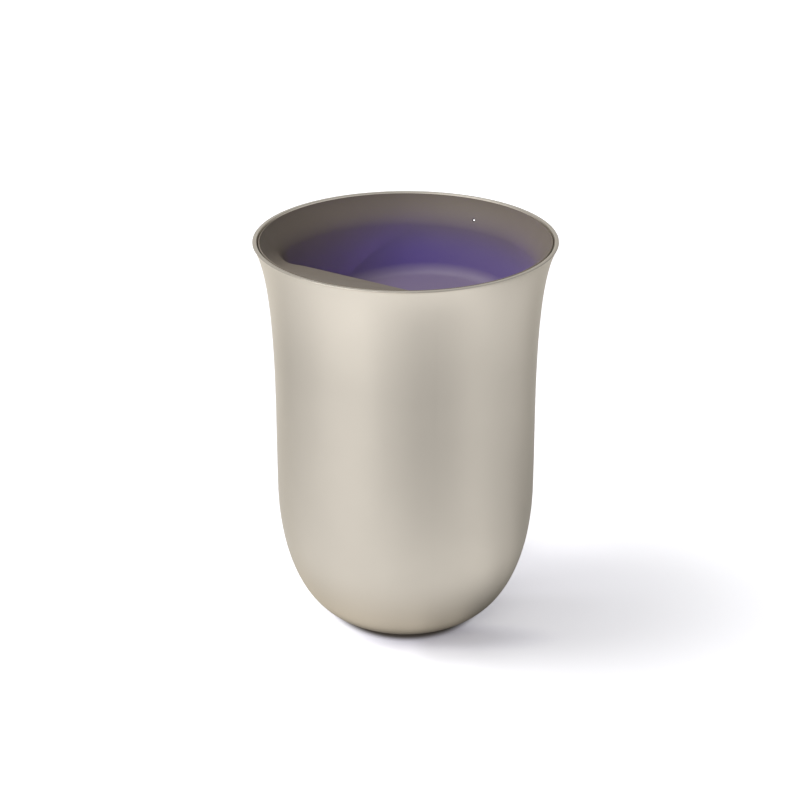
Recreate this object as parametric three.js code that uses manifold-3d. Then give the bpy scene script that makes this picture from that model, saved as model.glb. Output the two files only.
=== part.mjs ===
// A vase-shaped phone sanitizer: a spun metal shell with an open mouth, and inside it a moulded liner with a
// leaning phone pocket, ultraviolet lamps, a charging rest, a power inlet and a push button at the rear.
// Millimetres, +Z up. The front faces -Y, and the origin lies under the middle of the foot.
import * as THREE from "three";
import { mergeVertices } from "three/addons/utils/BufferGeometryUtils.js";
import Module from "manifold-3d";

const wasm = await Module();
wasm.setup();

// Clearances shared by the whole object
const seatGap = 0.2; // between pieces that rest on each other
const fitGap = 0.3; // round a piece that sits in a cut-out
const threadGap = 0.15; // round a screw's shank
const solderGap = 0.1; // under a part soldered to its board
const overrun = 3; // how far a cutter runs past what it cuts
const fuseDepth = 0.6; // how deep a boss is rooted in its wall
const weldDistance = 0.0001; // below this, two corners of a mesh are one

// How finely the round forms are divided
const shellSides = 48;
const roundSides = 24;
const screwSides = 10;
const socketSides = 6;
const leadSides = 8;
const cornerSteps = 4;

// Outer shell: a bowl, a nearly straight body and a flare, in three smooth curves
const shell = {
  height: 180,
  rimRadius: 65,
  waistRadius: 57.6,
  waistHeight: 112,
  bellyRadius: 58,
  bellyHeight: 62.5,
  footRadius: 31,
  footHeight: 2.6,
  wall: 1.6,
  lipBevel: 0.35,
  hubHoleRadius: 24,
  rimSlope: 0.46,
  footReachShare: 0.6,
  footRiseShare: 0.06,
  bowlPullShare: 0.545,
  waistPullShare: 0.3,
  flareStartShare: 0.65,
  flareEndShare: 0.13,
  bowlSteps: 10,
  waistSteps: 2,
  flareSteps: 7,
};

// Liner: a round wall that follows the shell, with a front shelf and a leaning pocket
const liner = {
  wall: 1.8,
  topDrop: 0.3,
  rimGap: 0.4,
  bodyGap: 2.4,
  taperDepth: 13,
  crestSetback: 20,
  crestDrop: 14.5,
  crestRadius: 1,
  shelfSlope: 0.28,
  floorHeight: 38,
  floorFront: 33.5,
  floorBack: 15,
  floorRadius: 2.5,
  restTopDrop: 40, // from the lip down to the ledge behind the pocket
  restTopSetback: 15.5,
  restTopRadius: 4,
  ledgeSlope: 0.16,
  bodySteps: 10,
  taperSteps: 5,
};

// Screws: small ones for boards and panels, large ones for the case
const smallScrew = {
  headRadius: 2,
  headHeight: 1.3,
  shankRadius: 1,
  shankLength: 5,
  socketRadius: 0.9,
  socketDepth: 0.7,
};
const caseScrew = {
  headRadius: 2.7,
  headHeight: 1.9,
  shankRadius: 1.5,
  shankLength: 11,
  socketRadius: 1.3,
  socketDepth: 1,
};
const baseScrewLength = 20;
const bossWall = 2; // of a screw boss, round its hole
const tipTaper = 0.4; // at the point of a shank

// Ultraviolet units in the pocket's front wall
const lamp = {
  drops: [16.2, 66.2], // from the shelf's crest down the pocket's front wall
  windowWidth: 52,
  windowHeight: 9,
  windowCorner: 1.5,
  windowRecess: 0.3,
  flangeMargin: 2.6,
  flangeThickness: 1.2,
  reflectorWidth: 50,
  reflectorDepth: 5,
  reflectorMouth: 12.5,
  reflectorFloor: 7,
  reflectorSkin: 0.8,
  boardWidth: 74,
  boardHeight: 15,
  boardThickness: 1.2,
  boardCorner: 1,
  screwSpread: 66,
  ledSpread: 26,
  ledSize: 3.5,
  ledHeight: 0.7,
  domeRadius: 1.3,
  domeHeight: 0.6,
};

// Charging rest behind the phone
const rest = {
  width: 64,
  lowMargin: 13, // up the wall from the pocket floor to the panel
  highMargin: 9.46, // from the panel up to the ledge
  corner: 5,
  skin: 1.6,
  sideWall: 2.6,
  bossHeight: 3,
  flangeMargin: 8,
  flangeThickness: 1.6,
  screwInset: 4,
  coilMargin: 3, // from the coil to the ferrite's edge
  coilInnerRadius: 10,
  coilThickness: 1.2,
  ferriteGap: 3.4, // from the ferrite to the panel's side walls
  ferriteTopGap: 4.4, // from the ferrite to the panel's upper wall
  ferriteThickness: 0.8,
  shieldMargin: 1,
  shieldThickness: 0.8,
  leadHoleRadius: 1.8,
  leadHoleOffset: 15,
};

// Soft pad on the pocket floor
const pad = { width: 62, thickness: 1.5, corner: 3 };

// Status light high in the liner's back wall
const status = {
  drop: 9,
  lensRadius: 0.75,
  lensLength: 0.9,
  lensRecess: 0.15,
  ledWidth: 1.6,
  ledHeight: 0.8,
  ledDepth: 0.6,
  boardWidth: 6,
  boardLength: 7,
  boardDrop: 2,
  boardThickness: 0.4,
  boardGap: 0.35,
};

// Base: a plate that closes the shell from below, its rubber ring and the weight on top of it
const base = {
  ringThickness: 1.1,
  ringOuterRadius: 27.5,
  ringInnerRadius: 21,
  ringGap: 0.1,
  flangeRadius: 28.5,
  flangeThickness: 1.2,
  hubHeight: 5.4,
  screwCircle: 17,
  screwCount: 3,
  screwStart: 30, // degrees from +X
  screwSeat: 3,
  ballastRadius: 30,
  ballastThickness: 12,
};

// Chassis: a round floor and an upright that carries the main board
const chassis = {
  floorRadius: 44,
  floorThickness: 2.5,
  bossHeight: 5.5,
  uprightThickness: 2.5,
  uprightFootWidth: 24,
  uprightWidth: 46,
  uprightSpread: 14, // height over which the upright widens
  tabDepth: 12,
  tabThickness: 2.5,
  tabDrop: 8.8, // below the underside of the ledge behind the pocket
  gussetHeight: 40,
  gussetDepth: 22,
  gussetThickness: 2,
  gussetSpread: 26,
  slotWidth: 26,
  slotHeight: 8,
  slotAboveBoard: 3,
  boardBossHeight: 1.5,
  frontPostSpread: 54,
  frontPostSetback: 26,
  rearBossSpread: 32,
  rearBossSetback: 38,
};

// Main board at the rear, with what is soldered to it
const board = {
  width: 40,
  length: 56,
  bottom: 34,
  thickness: 1.6,
  corner: 1.5,
  screwInset: 4,
  chipSize: 7,
  chipThickness: 1,
  chipOffset: 12,
  inductorRadius: 4,
  inductorHeight: 4,
  inductorHeightOnBoard: 18,
  connectorWidth: 6,
  connectorHeight: 4,
  connectorDepth: 3.5,
  connectorSpacing: 8,
  connectorInset: 6,
};

// Power inlet
const inlet = {
  height: 44,
  width: 9,
  thickness: 3.3,
  wall: 0.35,
  recess: 0.7,
  pocketDepth: 6.4,
  tongueWidth: 6.6,
  tongueThickness: 0.7,
  tongueLength: 5.6,
  openingGap: 0.4,
};

// Push button
const button = {
  height: 64,
  capRadius: 4.5,
  capProud: 1.2,
  travel: 0.8,
  capDome: 0.4,
  runningGap: 0.3,
  guideWall: 1.2,
  guideFlangeWidth: 2,
  guideFlangeThickness: 1.5,
  guideLength: 3.7,
  retainerWidth: 1.1,
  retainerThickness: 1.3,
  tipGap: 0.1,
  plungerRadius: 1.6,
  plungerLength: 2.1,
  plungerGap: 0.2,
  switchSize: 6,
  switchHeight: 3.5,
};

// Leads held inside, as points that each route passes through
const lead = { radius: 1.1, thinRadius: 0.5, stepsPerPoint: 3, descentPoints: 9, endGap: 0.3 };

// Turns a closed mesh into a solid that can be joined and cut.
function solid(geometry) {
  const bare = geometry.clone();
  bare.deleteAttribute("normal");
  bare.deleteAttribute("uv");
  const merged = mergeVertices(bare, weldDistance);
  return new wasm.Manifold(
    new wasm.Mesh({
      numProp: 3,
      vertProperties: merged.getAttribute("position").array,
      triVerts: new Uint32Array(merged.index.array),
    }),
  );
}

// Turns a solid back into a mesh that can be drawn.
function geometryOf(made) {
  const mesh = made.getMesh();
  const geometry = new THREE.BufferGeometry();
  const corners = new Float32Array(mesh.vertProperties);
  geometry.setAttribute("position", new THREE.BufferAttribute(corners, mesh.numProp));
  geometry.setIndex(new THREE.BufferAttribute(new Uint32Array(mesh.triVerts), 1));
  geometry.computeVertexNormals();
  return geometry;
}

// Moves a solid into the frame of a group.
function inFrame(made, group) {
  group.updateMatrixWorld(true);
  return made.transform(group.matrixWorld.toArray());
}

const shift = (made, x, y, z) => made.translate([x, y, z]);
const joined = (solids) => solids.reduce((sum, next) => sum.add(next));
const cut = (made, cutters) => cutters.reduce((left, next) => left.subtract(next), made);

// A solid of revolution about Z from a counterclockwise outline of [radius, height] corners.
function revolve(outline, sides = roundSides) {
  const corners = outline.map(([radius, height]) => new THREE.Vector2(radius, height));
  return solid(new THREE.LatheGeometry(corners, sides).rotateX(Math.PI / 2));
}

// An upright round bar from one height to another.
function bar(radius, low, high, sides = roundSides) {
  return revolve([[0, low], [radius, low], [radius, high], [0, high]], sides);
}

// A ring from one height to another.
function ring(inner, outer, low, high, sides = roundSides) {
  return revolve([[inner, low], [outer, low], [outer, high], [inner, high], [inner, low]], sides);
}

// A box centred in X and Y that stands on one height.
function block(width, depth, low, high) {
  return shift(solid(new THREE.BoxGeometry(width, depth, high - low)), 0, 0, (low + high) / 2);
}

// A plate with rounded corners, centred in X and Y.
function plate(width, depth, low, high, corner) {
  const x = width / 2;
  const y = depth / 2;
  const shape = roundedShape(
    [[-x, -y], [x, -y], [x, y], [-x, y]].map(([a, b]) => new THREE.Vector2(a, b)),
    [corner, corner, corner, corner],
  );
  return shift(extrude(shape, high - low), 0, 0, low);
}

// A shape drawn in X and Y and raised along Z.
function extrude(shape, depth) {
  return solid(new THREE.ExtrudeGeometry(shape, { depth, bevelEnabled: false, curveSegments: cornerSteps }));
}

// Joins corners with straight edges and rounds each by its own radius.
function roundedShape(corners, radii) {
  const shape = new THREE.Shape();
  const count = corners.length;
  corners.forEach((corner, i) => {
    const before = corners[(i + count - 1) % count].clone().sub(corner).setLength(radii[i]).add(corner);
    const after = corners[(i + 1) % count].clone().sub(corner).setLength(radii[i]).add(corner);
    if (i === 0) shape.moveTo(before.x, before.y);
    else shape.lineTo(before.x, before.y);
    if (radii[i] > 0) shape.quadraticCurveTo(corner.x, corner.y, after.x, after.y);
  });
  shape.closePath();
  return shape;
}

// Moves every edge of a counterclockwise outline outwards and lets neighbours meet again.
function offsetOutline(corners, distance) {
  const edges = corners.map((corner, i) => {
    const run = corners[(i + 1) % corners.length].clone().sub(corner).normalize();
    const outward = new THREE.Vector2(run.y, -run.x);
    return { run, from: corner.clone().addScaledVector(outward, distance) };
  });
  return edges.map((edge, i) => {
    const before = edges[(i + edges.length - 1) % edges.length];
    const along = edge.from.clone().sub(before.from).cross(edge.run) / before.run.cross(edge.run);
    return before.from.clone().addScaledVector(before.run, along);
  });
}

// Carries a solid drawn in X and Y, and raised along Z, to the YZ plane, raised along X from its middle.
function acrossX(made, width) {
  const turn = new THREE.Matrix4().makeBasis(
    new THREE.Vector3(0, 1, 0),
    new THREE.Vector3(0, 0, 1),
    new THREE.Vector3(1, 0, 0),
  );
  return shift(made, 0, 0, -width / 2).transform(turn.toArray());
}

// Carries a solid drawn along Z to lie along +Y, from a place on the axis of the object.
function alongY(made, x, y, z) {
  return shift(made.rotate([-90, 0, 0]), x, y, z);
}

// A tube along a smooth curve through the given points.
function tube(points, radius) {
  const curve = new THREE.CatmullRomCurve3(points.map(([x, y, z]) => new THREE.Vector3(x, y, z)));
  const section = new THREE.Shape();
  const angles = Array.from({ length: leadSides }, (_, i) => (2 * Math.PI * i) / leadSides);
  section.setFromPoints(angles.map((a) => new THREE.Vector2(radius * Math.cos(a), radius * Math.sin(a))));
  const steps = lead.stepsPerPoint * (points.length - 1);
  return solid(new THREE.ExtrudeGeometry(section, { steps, extrudePath: curve, bevelEnabled: false }));
}

// A screw with a hexagon socket, its head seated at height zero and its shank pointing down.
function screw(size, length = size.shankLength) {
  const made = revolve(
    [
      [0, -length],
      [size.shankRadius * (1 - tipTaper), -length],
      [size.shankRadius, -length + size.shankRadius],
      [size.shankRadius, 0],
      [size.headRadius, 0],
      [size.headRadius, size.headHeight],
      [0, size.headHeight],
    ],
    screwSides,
  );
  const socketFloor = size.headHeight - size.socketDepth;
  return made.subtract(bar(size.socketRadius, socketFloor, size.headHeight + overrun, socketSides));
}

const holeFor = (size) => size.shankRadius + threadGap;
const bossRadius = (size) => holeFor(size) + bossWall;

// Finishes
const finish = {
  shellMetal: { color: 0xbfb6a8, roughness: 0.34, metalness: 0.85 },
  linerPlastic: { color: 0x766e66, roughness: 0.6, metalness: 0 },
  darkPlastic: { color: 0x3a3836, roughness: 0.55, metalness: 0 },
  rubber: { color: 0x2b2a29, roughness: 0.85, metalness: 0 },
  quartz: { color: 0xd9dce6, roughness: 0.08, metalness: 0 },
  mirror: { color: 0xd6d7d9, roughness: 0.12, metalness: 1 },
  boardGreen: { color: 0x1f4a36, roughness: 0.5, metalness: 0 },
  boardWhite: { color: 0xe4e4df, roughness: 0.5, metalness: 0 },
  chipBlack: { color: 0x1d1d1f, roughness: 0.45, metalness: 0 },
  ceramic: { color: 0xe9e3cf, roughness: 0.35, metalness: 0 },
  copper: { color: 0xb0673a, roughness: 0.35, metalness: 1 },
  ferrite: { color: 0x3b3c40, roughness: 0.7, metalness: 0 },
  aluminium: { color: 0xb9bbbd, roughness: 0.4, metalness: 1 },
  steel: { color: 0xa9a9a6, roughness: 0.3, metalness: 1 },
  leadJacket: { color: 0x24252a, roughness: 0.6, metalness: 0 },
  lightPipe: { color: 0xf6f6f4, roughness: 0.2, metalness: 0 },
};

const sanitizer = new THREE.Group();
sanitizer.name = "phone_sanitizer";

// Adds one named piece to a group.
function add(group, name, made, look) {
  const mesh = new THREE.Mesh(geometryOf(made), new THREE.MeshStandardMaterial(look));
  mesh.name = name;
  group.add(mesh);
  return mesh;
}

// The shell's outline, as three curves of radius and height from the foot to the lip.
function shellCurves() {
  const at = (radius, height) => new THREE.Vector2(radius, height);
  const bowlRun = shell.bellyRadius - shell.footRadius;
  const bowlRise = shell.bellyHeight - shell.footHeight;
  const waistRise = shell.waistHeight - shell.bellyHeight;
  const flareRise = shell.height - shell.waistHeight;
  const flareEnd = shell.flareEndShare * flareRise;
  const bowl = new THREE.CubicBezierCurve(
    at(shell.footRadius, shell.footHeight),
    at(shell.footRadius + shell.footReachShare * bowlRun, shell.footHeight + shell.footRiseShare * bowlRun),
    at(shell.bellyRadius, shell.bellyHeight - shell.bowlPullShare * bowlRise),
    at(shell.bellyRadius, shell.bellyHeight),
  );
  const waist = new THREE.CubicBezierCurve(
    at(shell.bellyRadius, shell.bellyHeight),
    at(shell.bellyRadius, shell.bellyHeight + shell.waistPullShare * waistRise),
    at(shell.waistRadius, shell.waistHeight - shell.waistPullShare * waistRise),
    at(shell.waistRadius, shell.waistHeight),
  );
  const flare = new THREE.CubicBezierCurve(
    at(shell.waistRadius, shell.waistHeight),
    at(shell.waistRadius, shell.waistHeight + shell.flareStartShare * flareRise),
    at(shell.rimRadius - shell.rimSlope * flareEnd, shell.height - flareEnd),
    at(shell.rimRadius, shell.height),
  );
  return [[bowl, shell.bowlSteps], [waist, shell.waistSteps], [flare, shell.flareSteps]];
}

// The shell's outline moved inwards, square to the surface, by one inset.
function shellOutline(inset) {
  const outline = [];
  shellCurves().forEach(([curve, steps], part) => {
    for (let i = part ? 1 : 0; i <= steps; i += 1) {
      const place = curve.getPoint(i / steps);
      const run = curve.getTangent(i / steps);
      outline.push([place.x - inset * run.y, place.y + inset * run.x]);
    }
  });
  return outline;
}

const outerOutline = shellOutline(0);
const innerOutline = shellOutline(shell.wall);

// The radius of an outline at one height.
function radiusAt(outline, height) {
  const above = outline.findIndex(([, z]) => z >= height);
  const i = above < 1 ? outline.length - 1 : above;
  const [r0, z0] = outline[i - 1];
  const [r1, z1] = outline[i];
  return r0 + ((r1 - r0) * (height - z0)) / (z1 - z0);
}

const linerTop = shell.height - liner.topDrop;

// The liner's outer radius: close to the shell at the lip, and further in below it.
function linerRadius(height) {
  const share = THREE.MathUtils.smoothstep(linerTop - height, 0, liner.taperDepth);
  return radiusAt(innerOutline, height) - THREE.MathUtils.lerp(liner.rimGap, liner.bodyGap, share);
}

// Corners of the pocket's section, as places along Y and Z
const crest = new THREE.Vector2(-liner.crestSetback, shell.height - liner.crestDrop);
const floorFront = new THREE.Vector2(-liner.floorFront, liner.floorHeight);
const floorBack = new THREE.Vector2(-liner.floorBack, liner.floorHeight);
const restTop = new THREE.Vector2(liner.restTopSetback, shell.height - liner.restTopDrop);

// A group on a leaning wall, at a distance up from its low end. Its Y runs up the wall.
function onWall(low, high, distance) {
  const run = high.clone().sub(low);
  const place = low.clone().addScaledVector(run.clone().normalize(), distance);
  const group = new THREE.Group();
  group.position.set(0, place.x, place.y);
  group.rotation.x = Math.atan2(run.y, run.x);
  sanitizer.add(group);
  return group;
}

// The space inside the liner, grown by one margin: the round wall cut by the shelf, pocket and ledge.
function linerSpace(margin, top) {
  const low = liner.floorHeight - margin;
  const bodyTop = linerTop - liner.taperDepth;
  const heights = [];
  for (let i = 0; i < liner.bodySteps; i += 1) {
    heights.push(low + ((bodyTop - low) * i) / liner.bodySteps);
  }
  for (let i = 0; i <= liner.taperSteps; i += 1) {
    heights.push(bodyTop + (liner.taperDepth * i) / liner.taperSteps);
  }
  const wallPoints = heights.map((z) => [linerRadius(z) - liner.wall + margin, z]);
  const [topRadius] = wallPoints[wallPoints.length - 1];
  const round = revolve([[0, low], ...wallPoints, [topRadius, top], [0, top]], shellSides);
  const reach = shell.rimRadius + overrun;
  const outline = offsetOutline(
    [
      new THREE.Vector2(-reach, shell.height + overrun),
      new THREE.Vector2(-reach, crest.y + liner.shelfSlope * (reach + crest.x)),
      crest,
      floorFront,
      floorBack,
      restTop,
      new THREE.Vector2(reach, restTop.y + liner.ledgeSlope * (reach - restTop.x)),
      new THREE.Vector2(reach, shell.height + overrun),
    ],
    margin,
  );
  const shrunk = (radius) => Math.max(radius - margin, 0);
  const grown = liner.floorRadius + margin;
  const radii = [0, 0, shrunk(liner.crestRadius), grown, grown, shrunk(liner.restTopRadius), 0, 0];
  const width = 2 * reach;
  return round.intersect(acrossX(extrude(roundedShape(outline, radii), width), width));
}

// Heights of the base's stack
const flangeLow = base.ringThickness + base.ringGap;
const hubTop = flangeLow + base.flangeThickness + base.hubHeight;
const ballastLow = hubTop + seatGap;
const ballastTop = ballastLow + base.ballastThickness;
const chassisLow = ballastTop + seatGap;
const chassisTop = chassisLow + chassis.floorThickness;
const baseScrewSeat = flangeLow + base.screwSeat;
const ringAngles = Array.from(
  { length: base.screwCount },
  (_, i) => THREE.MathUtils.degToRad(base.screwStart) + (2 * Math.PI * i) / base.screwCount,
);
const baseScrewPlaces = ringAngles.map((angle) => [
  base.screwCircle * Math.cos(angle),
  base.screwCircle * Math.sin(angle),
]);

// Places along Y of the button's stack, from the shell inwards to the board
const guideRadius = button.capRadius + button.runningGap + button.guideWall;
const guideFace = Math.sqrt(radiusAt(outerOutline, button.height) ** 2 - guideRadius ** 2);
const guideBack = guideFace - button.guideLength;
const retainerFace = guideBack - button.runningGap;
const retainerBack = retainerFace - button.retainerThickness;
const plungerTip = retainerBack - button.tipGap;
const plungerProud = button.travel + button.tipGap;
const plungerBore = button.plungerLength - plungerProud + button.travel + button.plungerGap;
const switchFace = plungerTip - plungerProud;
const boardRear = switchFace - button.switchHeight - solderGap;
const boardFront = boardRear - board.thickness;
const uprightRear = boardFront - seatGap - chassis.boardBossHeight;
const uprightFront = uprightRear - chassis.uprightThickness;
const boardMiddle = board.bottom + board.length / 2;
const boardTop = board.bottom + board.length;
const boardScrewPlaces = [
  [-board.width / 2 + board.screwInset, boardTop - board.screwInset],
  [board.width / 2 - board.screwInset, board.bottom + board.screwInset],
];

// A stadium-shaped bar along Z, wider in X.
function stadium(width, thickness, low, high) {
  return plate(width, thickness, low, high, thickness / 2);
}

function buildShell() {
  const tip = [shell.rimRadius - shell.lipBevel, shell.height];
  const bevelled = outerOutline.slice(0, -1);
  const edge = [shell.rimRadius, shell.height - shell.lipBevel];
  const [topRadius] = innerOutline[innerOutline.length - 1];
  const full = revolve([[0, shell.footHeight], ...bevelled, edge, tip, [0, shell.height]], shellSides);
  const hollow = revolve(
    [
      [0, shell.footHeight + shell.wall],
      ...innerOutline,
      [topRadius + shell.rimSlope * overrun, shell.height + overrun],
      [0, shell.height + overrun],
    ],
    shellSides,
  );
  const hubHole = bar(shell.hubHoleRadius, 0, ballastLow);
  const guideReach = radiusAt(outerOutline, button.height) + overrun;
  const guideHole = alongY(bar(guideRadius + fitGap, 0, guideReach), 0, 0, button.height);
  const inletReach = radiusAt(outerOutline, inlet.height) + overrun;
  const inletHole = alongY(
    stadium(inlet.width + 2 * inlet.openingGap, inlet.thickness + 2 * inlet.openingGap, 0, inletReach),
    0,
    0,
    inlet.height,
  );
  add(sanitizer, "outer_shell", cut(full, [hollow, hubHole, guideHole, inletHole]), finish.shellMetal);
}

const lampFrames = lamp.drops.map((drop) => onWall(floorFront, crest, floorFront.distanceTo(crest) - drop));

// The charging rest's panel fills the pocket's back wall between its two margins.
const restLength = floorBack.distanceTo(restTop) - rest.lowMargin - rest.highMargin;
const restFrame = onWall(floorBack, restTop, rest.lowMargin + restLength / 2);
const trayWidth = rest.width - 2 * rest.sideWall;
const trayLength = restLength - 2 * rest.sideWall;
const ferriteSize = Math.min(trayWidth, trayLength) - 2 * rest.ferriteGap;
const coilMiddle = trayLength / 2 - rest.ferriteTopGap - ferriteSize / 2;

// A group square to the liner's back wall at the status light. Its Z points into the mouth.
function statusFrame() {
  const height = shell.height - status.drop;
  const reach = status.boardLength / 2;
  const low = new THREE.Vector2(linerRadius(height - reach), height - reach);
  const high = new THREE.Vector2(linerRadius(height + reach), height + reach);
  return onWall(low, high, low.distanceTo(high) / 2);
}
const lightFrame = statusFrame();

// Depths behind the pocket's front wall, away from the pocket
const windowLow = liner.wall + seatGap;
const reflectorLow = windowLow + lamp.flangeThickness + seatGap;
const lampBoardLow = reflectorLow + lamp.reflectorDepth + seatGap;
const lampBoardHigh = lampBoardLow + lamp.boardThickness;

// Depths behind the pocket's back wall, as negative places
const restBossEnd = -liner.wall - rest.bossHeight;
const restFlangeHigh = restBossEnd - seatGap;
const restFlangeLow = restFlangeHigh - rest.flangeThickness;
const restScrewPlaces = [-1, 1].flatMap((side) =>
  [-1, 1].map((end) => [
    side * (rest.width / 2 + rest.screwInset),
    end * (restLength / 2 + rest.screwInset),
  ]),
);

// Height of the pocket ledge's underside at one place along Y.
function ledgeUnderside(y) {
  return restTop.y + liner.ledgeSlope * (y - restTop.x) - liner.wall;
}

const tabHeight = ledgeUnderside(chassis.rearBossSetback) - chassis.tabDrop;
const frontPosts = [-1, 1].map((side) => [(side * chassis.frontPostSpread) / 2, -chassis.frontPostSetback]);
const rearBosses = [-1, 1].map((side) => [(side * chassis.rearBossSpread) / 2, chassis.rearBossSetback]);

function buildLiner() {
  const lampCuts = lampFrames.map((frame) =>
    inFrame(
      plate(
        lamp.windowWidth + 2 * fitGap,
        lamp.windowHeight + 2 * fitGap,
        -overrun,
        liner.wall + overrun,
        lamp.windowCorner + fitGap,
      ),
      frame,
    ),
  );
  const restCut = inFrame(
    plate(
      rest.width + 2 * fitGap,
      restLength + 2 * fitGap,
      -liner.wall - overrun,
      overrun,
      rest.corner + fitGap,
    ),
    restFrame,
  );
  const small = bossRadius(smallScrew);
  const large = bossRadius(caseScrew);
  const upright = (radius, low, high, [x, y]) => shift(bar(radius, low, high, screwSides), x, y, 0);
  const lampScrews = [-1, 1].map((side) => [(side * lamp.screwSpread) / 2, 0]);
  const lampBossEnd = lampBoardLow - seatGap;
  const onFrames = (frames, places, make) =>
    frames.flatMap((frame) => places.map((at) => inFrame(make(at), frame)));
  const behind = -liner.wall;
  const underFloor = liner.floorHeight - liner.wall;
  const tabSeat = tabHeight + seatGap;
  const solids = [
    ...onFrames(lampFrames, lampScrews, (at) => upright(small, liner.wall - fuseDepth, lampBossEnd, at)),
    ...onFrames([restFrame], restScrewPlaces, (at) => upright(small, restBossEnd, behind + fuseDepth, at)),
    ...frontPosts.map((at) => upright(large, chassisTop + seatGap, underFloor + fuseDepth, at)),
    ...rearBosses.map((at) => upright(large, tabSeat, ledgeUnderside(at[1]) + fuseDepth, at)),
  ];
  const thin = holeFor(smallScrew);
  const wide = holeFor(caseScrew);
  const drills = [
    ...onFrames(lampFrames, lampScrews, (at) => upright(thin, liner.wall, lampBossEnd + overrun, at)),
    ...onFrames([restFrame], restScrewPlaces, (at) =>
      upright(thin, restBossEnd - overrun, behind + fuseDepth, at),
    ),
    ...frontPosts.map((at) => upright(wide, chassisTop, underFloor, at)),
    ...rearBosses.map((at) => upright(wide, tabHeight, ledgeUnderside(at[1]), at)),
  ];
  const wall = linerSpace(liner.wall, linerTop).subtract(linerSpace(0, shell.height + overrun));
  const lensHole = inFrame(
    bar(status.lensRadius + solderGap, -overrun, liner.wall + overrun, screwSides),
    lightFrame,
  );
  const ledHole = inFrame(
    block(status.ledWidth + 2 * fitGap, status.ledHeight + 2 * fitGap, -overrun, status.ledDepth + fitGap),
    lightFrame,
  );
  const made = cut(joined([wall, ...solids]), [...lampCuts, restCut, lensHole, ledHole, ...drills]);
  add(sanitizer, "inner_liner", made, finish.linerPlastic);

  const width = floorBack.x - floorFront.x - 2 * (liner.floorRadius + fitGap);
  const padGroup = new THREE.Group();
  padGroup.position.set(0, (floorBack.x + floorFront.x) / 2, liner.floorHeight + seatGap);
  sanitizer.add(padGroup);
  add(padGroup, "pocket_pad", plate(pad.width, width, 0, pad.thickness, pad.corner), finish.rubber);
}

// A trough that widens from the lamp board to the window, with a hole for each lamp.
function reflector() {
  const mouth = lamp.reflectorMouth / 2;
  const back = lamp.reflectorFloor / 2;
  const skin = lamp.reflectorSkin;
  const depth = lamp.reflectorDepth;
  const section = new THREE.Shape(
    [
      [-mouth, 0],
      [-mouth + skin, 0],
      [-back + skin, depth - skin],
      [back - skin, depth - skin],
      [mouth - skin, 0],
      [mouth, 0],
      [back, depth],
      [-back, depth],
    ].map(([y, z]) => new THREE.Vector2(y, z)),
  );
  const trough = acrossX(extrude(section, lamp.reflectorWidth), lamp.reflectorWidth);
  const hole = lamp.ledSize / 2 + fitGap;
  const holes = [-1, 1].map((side) =>
    shift(block(2 * hole, 2 * hole, 0, depth + overrun), (side * lamp.ledSpread) / 2, 0, 0),
  );
  return shift(cut(trough, holes), 0, 0, reflectorLow);
}

function buildLamps() {
  ["upper", "lower"].forEach((place, unit) => {
    const frame = lampFrames[unit];
    const flangeWidth = lamp.windowWidth + 2 * lamp.flangeMargin;
    const flangeHeight = lamp.windowHeight + 2 * lamp.flangeMargin;
    const pane = plate(
      lamp.windowWidth,
      lamp.windowHeight,
      lamp.windowRecess,
      windowLow + lamp.flangeThickness / 2,
      lamp.windowCorner,
    );
    const flange = plate(
      flangeWidth,
      flangeHeight,
      windowLow,
      windowLow + lamp.flangeThickness,
      lamp.windowCorner + lamp.flangeMargin / 2,
    );
    add(frame, `uv_window_${place}`, pane.add(flange), finish.quartz);
    add(frame, `uv_reflector_${place}`, reflector(), finish.mirror);
    const sides = [-1, 1];
    const holes = sides.map((side) =>
      shift(
        bar(holeFor(smallScrew), lampBoardLow - overrun, lampBoardHigh + overrun, screwSides),
        (side * lamp.screwSpread) / 2,
        0,
        0,
      ),
    );
    const strip = plate(lamp.boardWidth, lamp.boardHeight, lampBoardLow, lampBoardHigh, lamp.boardCorner);
    add(frame, `uv_board_${place}`, cut(strip, holes), finish.boardWhite);
    sides.forEach((side, i) => {
      const lampTop = lampBoardLow - solderGap;
      const chip = block(lamp.ledSize, lamp.ledSize, lampTop - lamp.ledHeight, lampTop);
      const dome = revolve(
        [
          [0, lampTop - lamp.ledHeight - lamp.domeHeight],
          [lamp.domeRadius / 2, lampTop - lamp.ledHeight - lamp.domeHeight],
          [lamp.domeRadius, lampTop - lamp.ledHeight],
          [lamp.domeRadius, lampTop - lamp.ledHeight / 2],
          [0, lampTop - lamp.ledHeight / 2],
        ],
        screwSides,
      );
      const led = add(frame, `uv_led_${place}_${i + 1}`, chip.add(dome), finish.ceramic);
      led.position.x = (side * lamp.ledSpread) / 2;
      const fastener = add(frame, `uv_board_screw_${place}_${i + 1}`, screw(smallScrew), finish.steel);
      fastener.position.set((side * lamp.screwSpread) / 2, 0, lampBoardHigh + solderGap);
    });
  });
}

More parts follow.
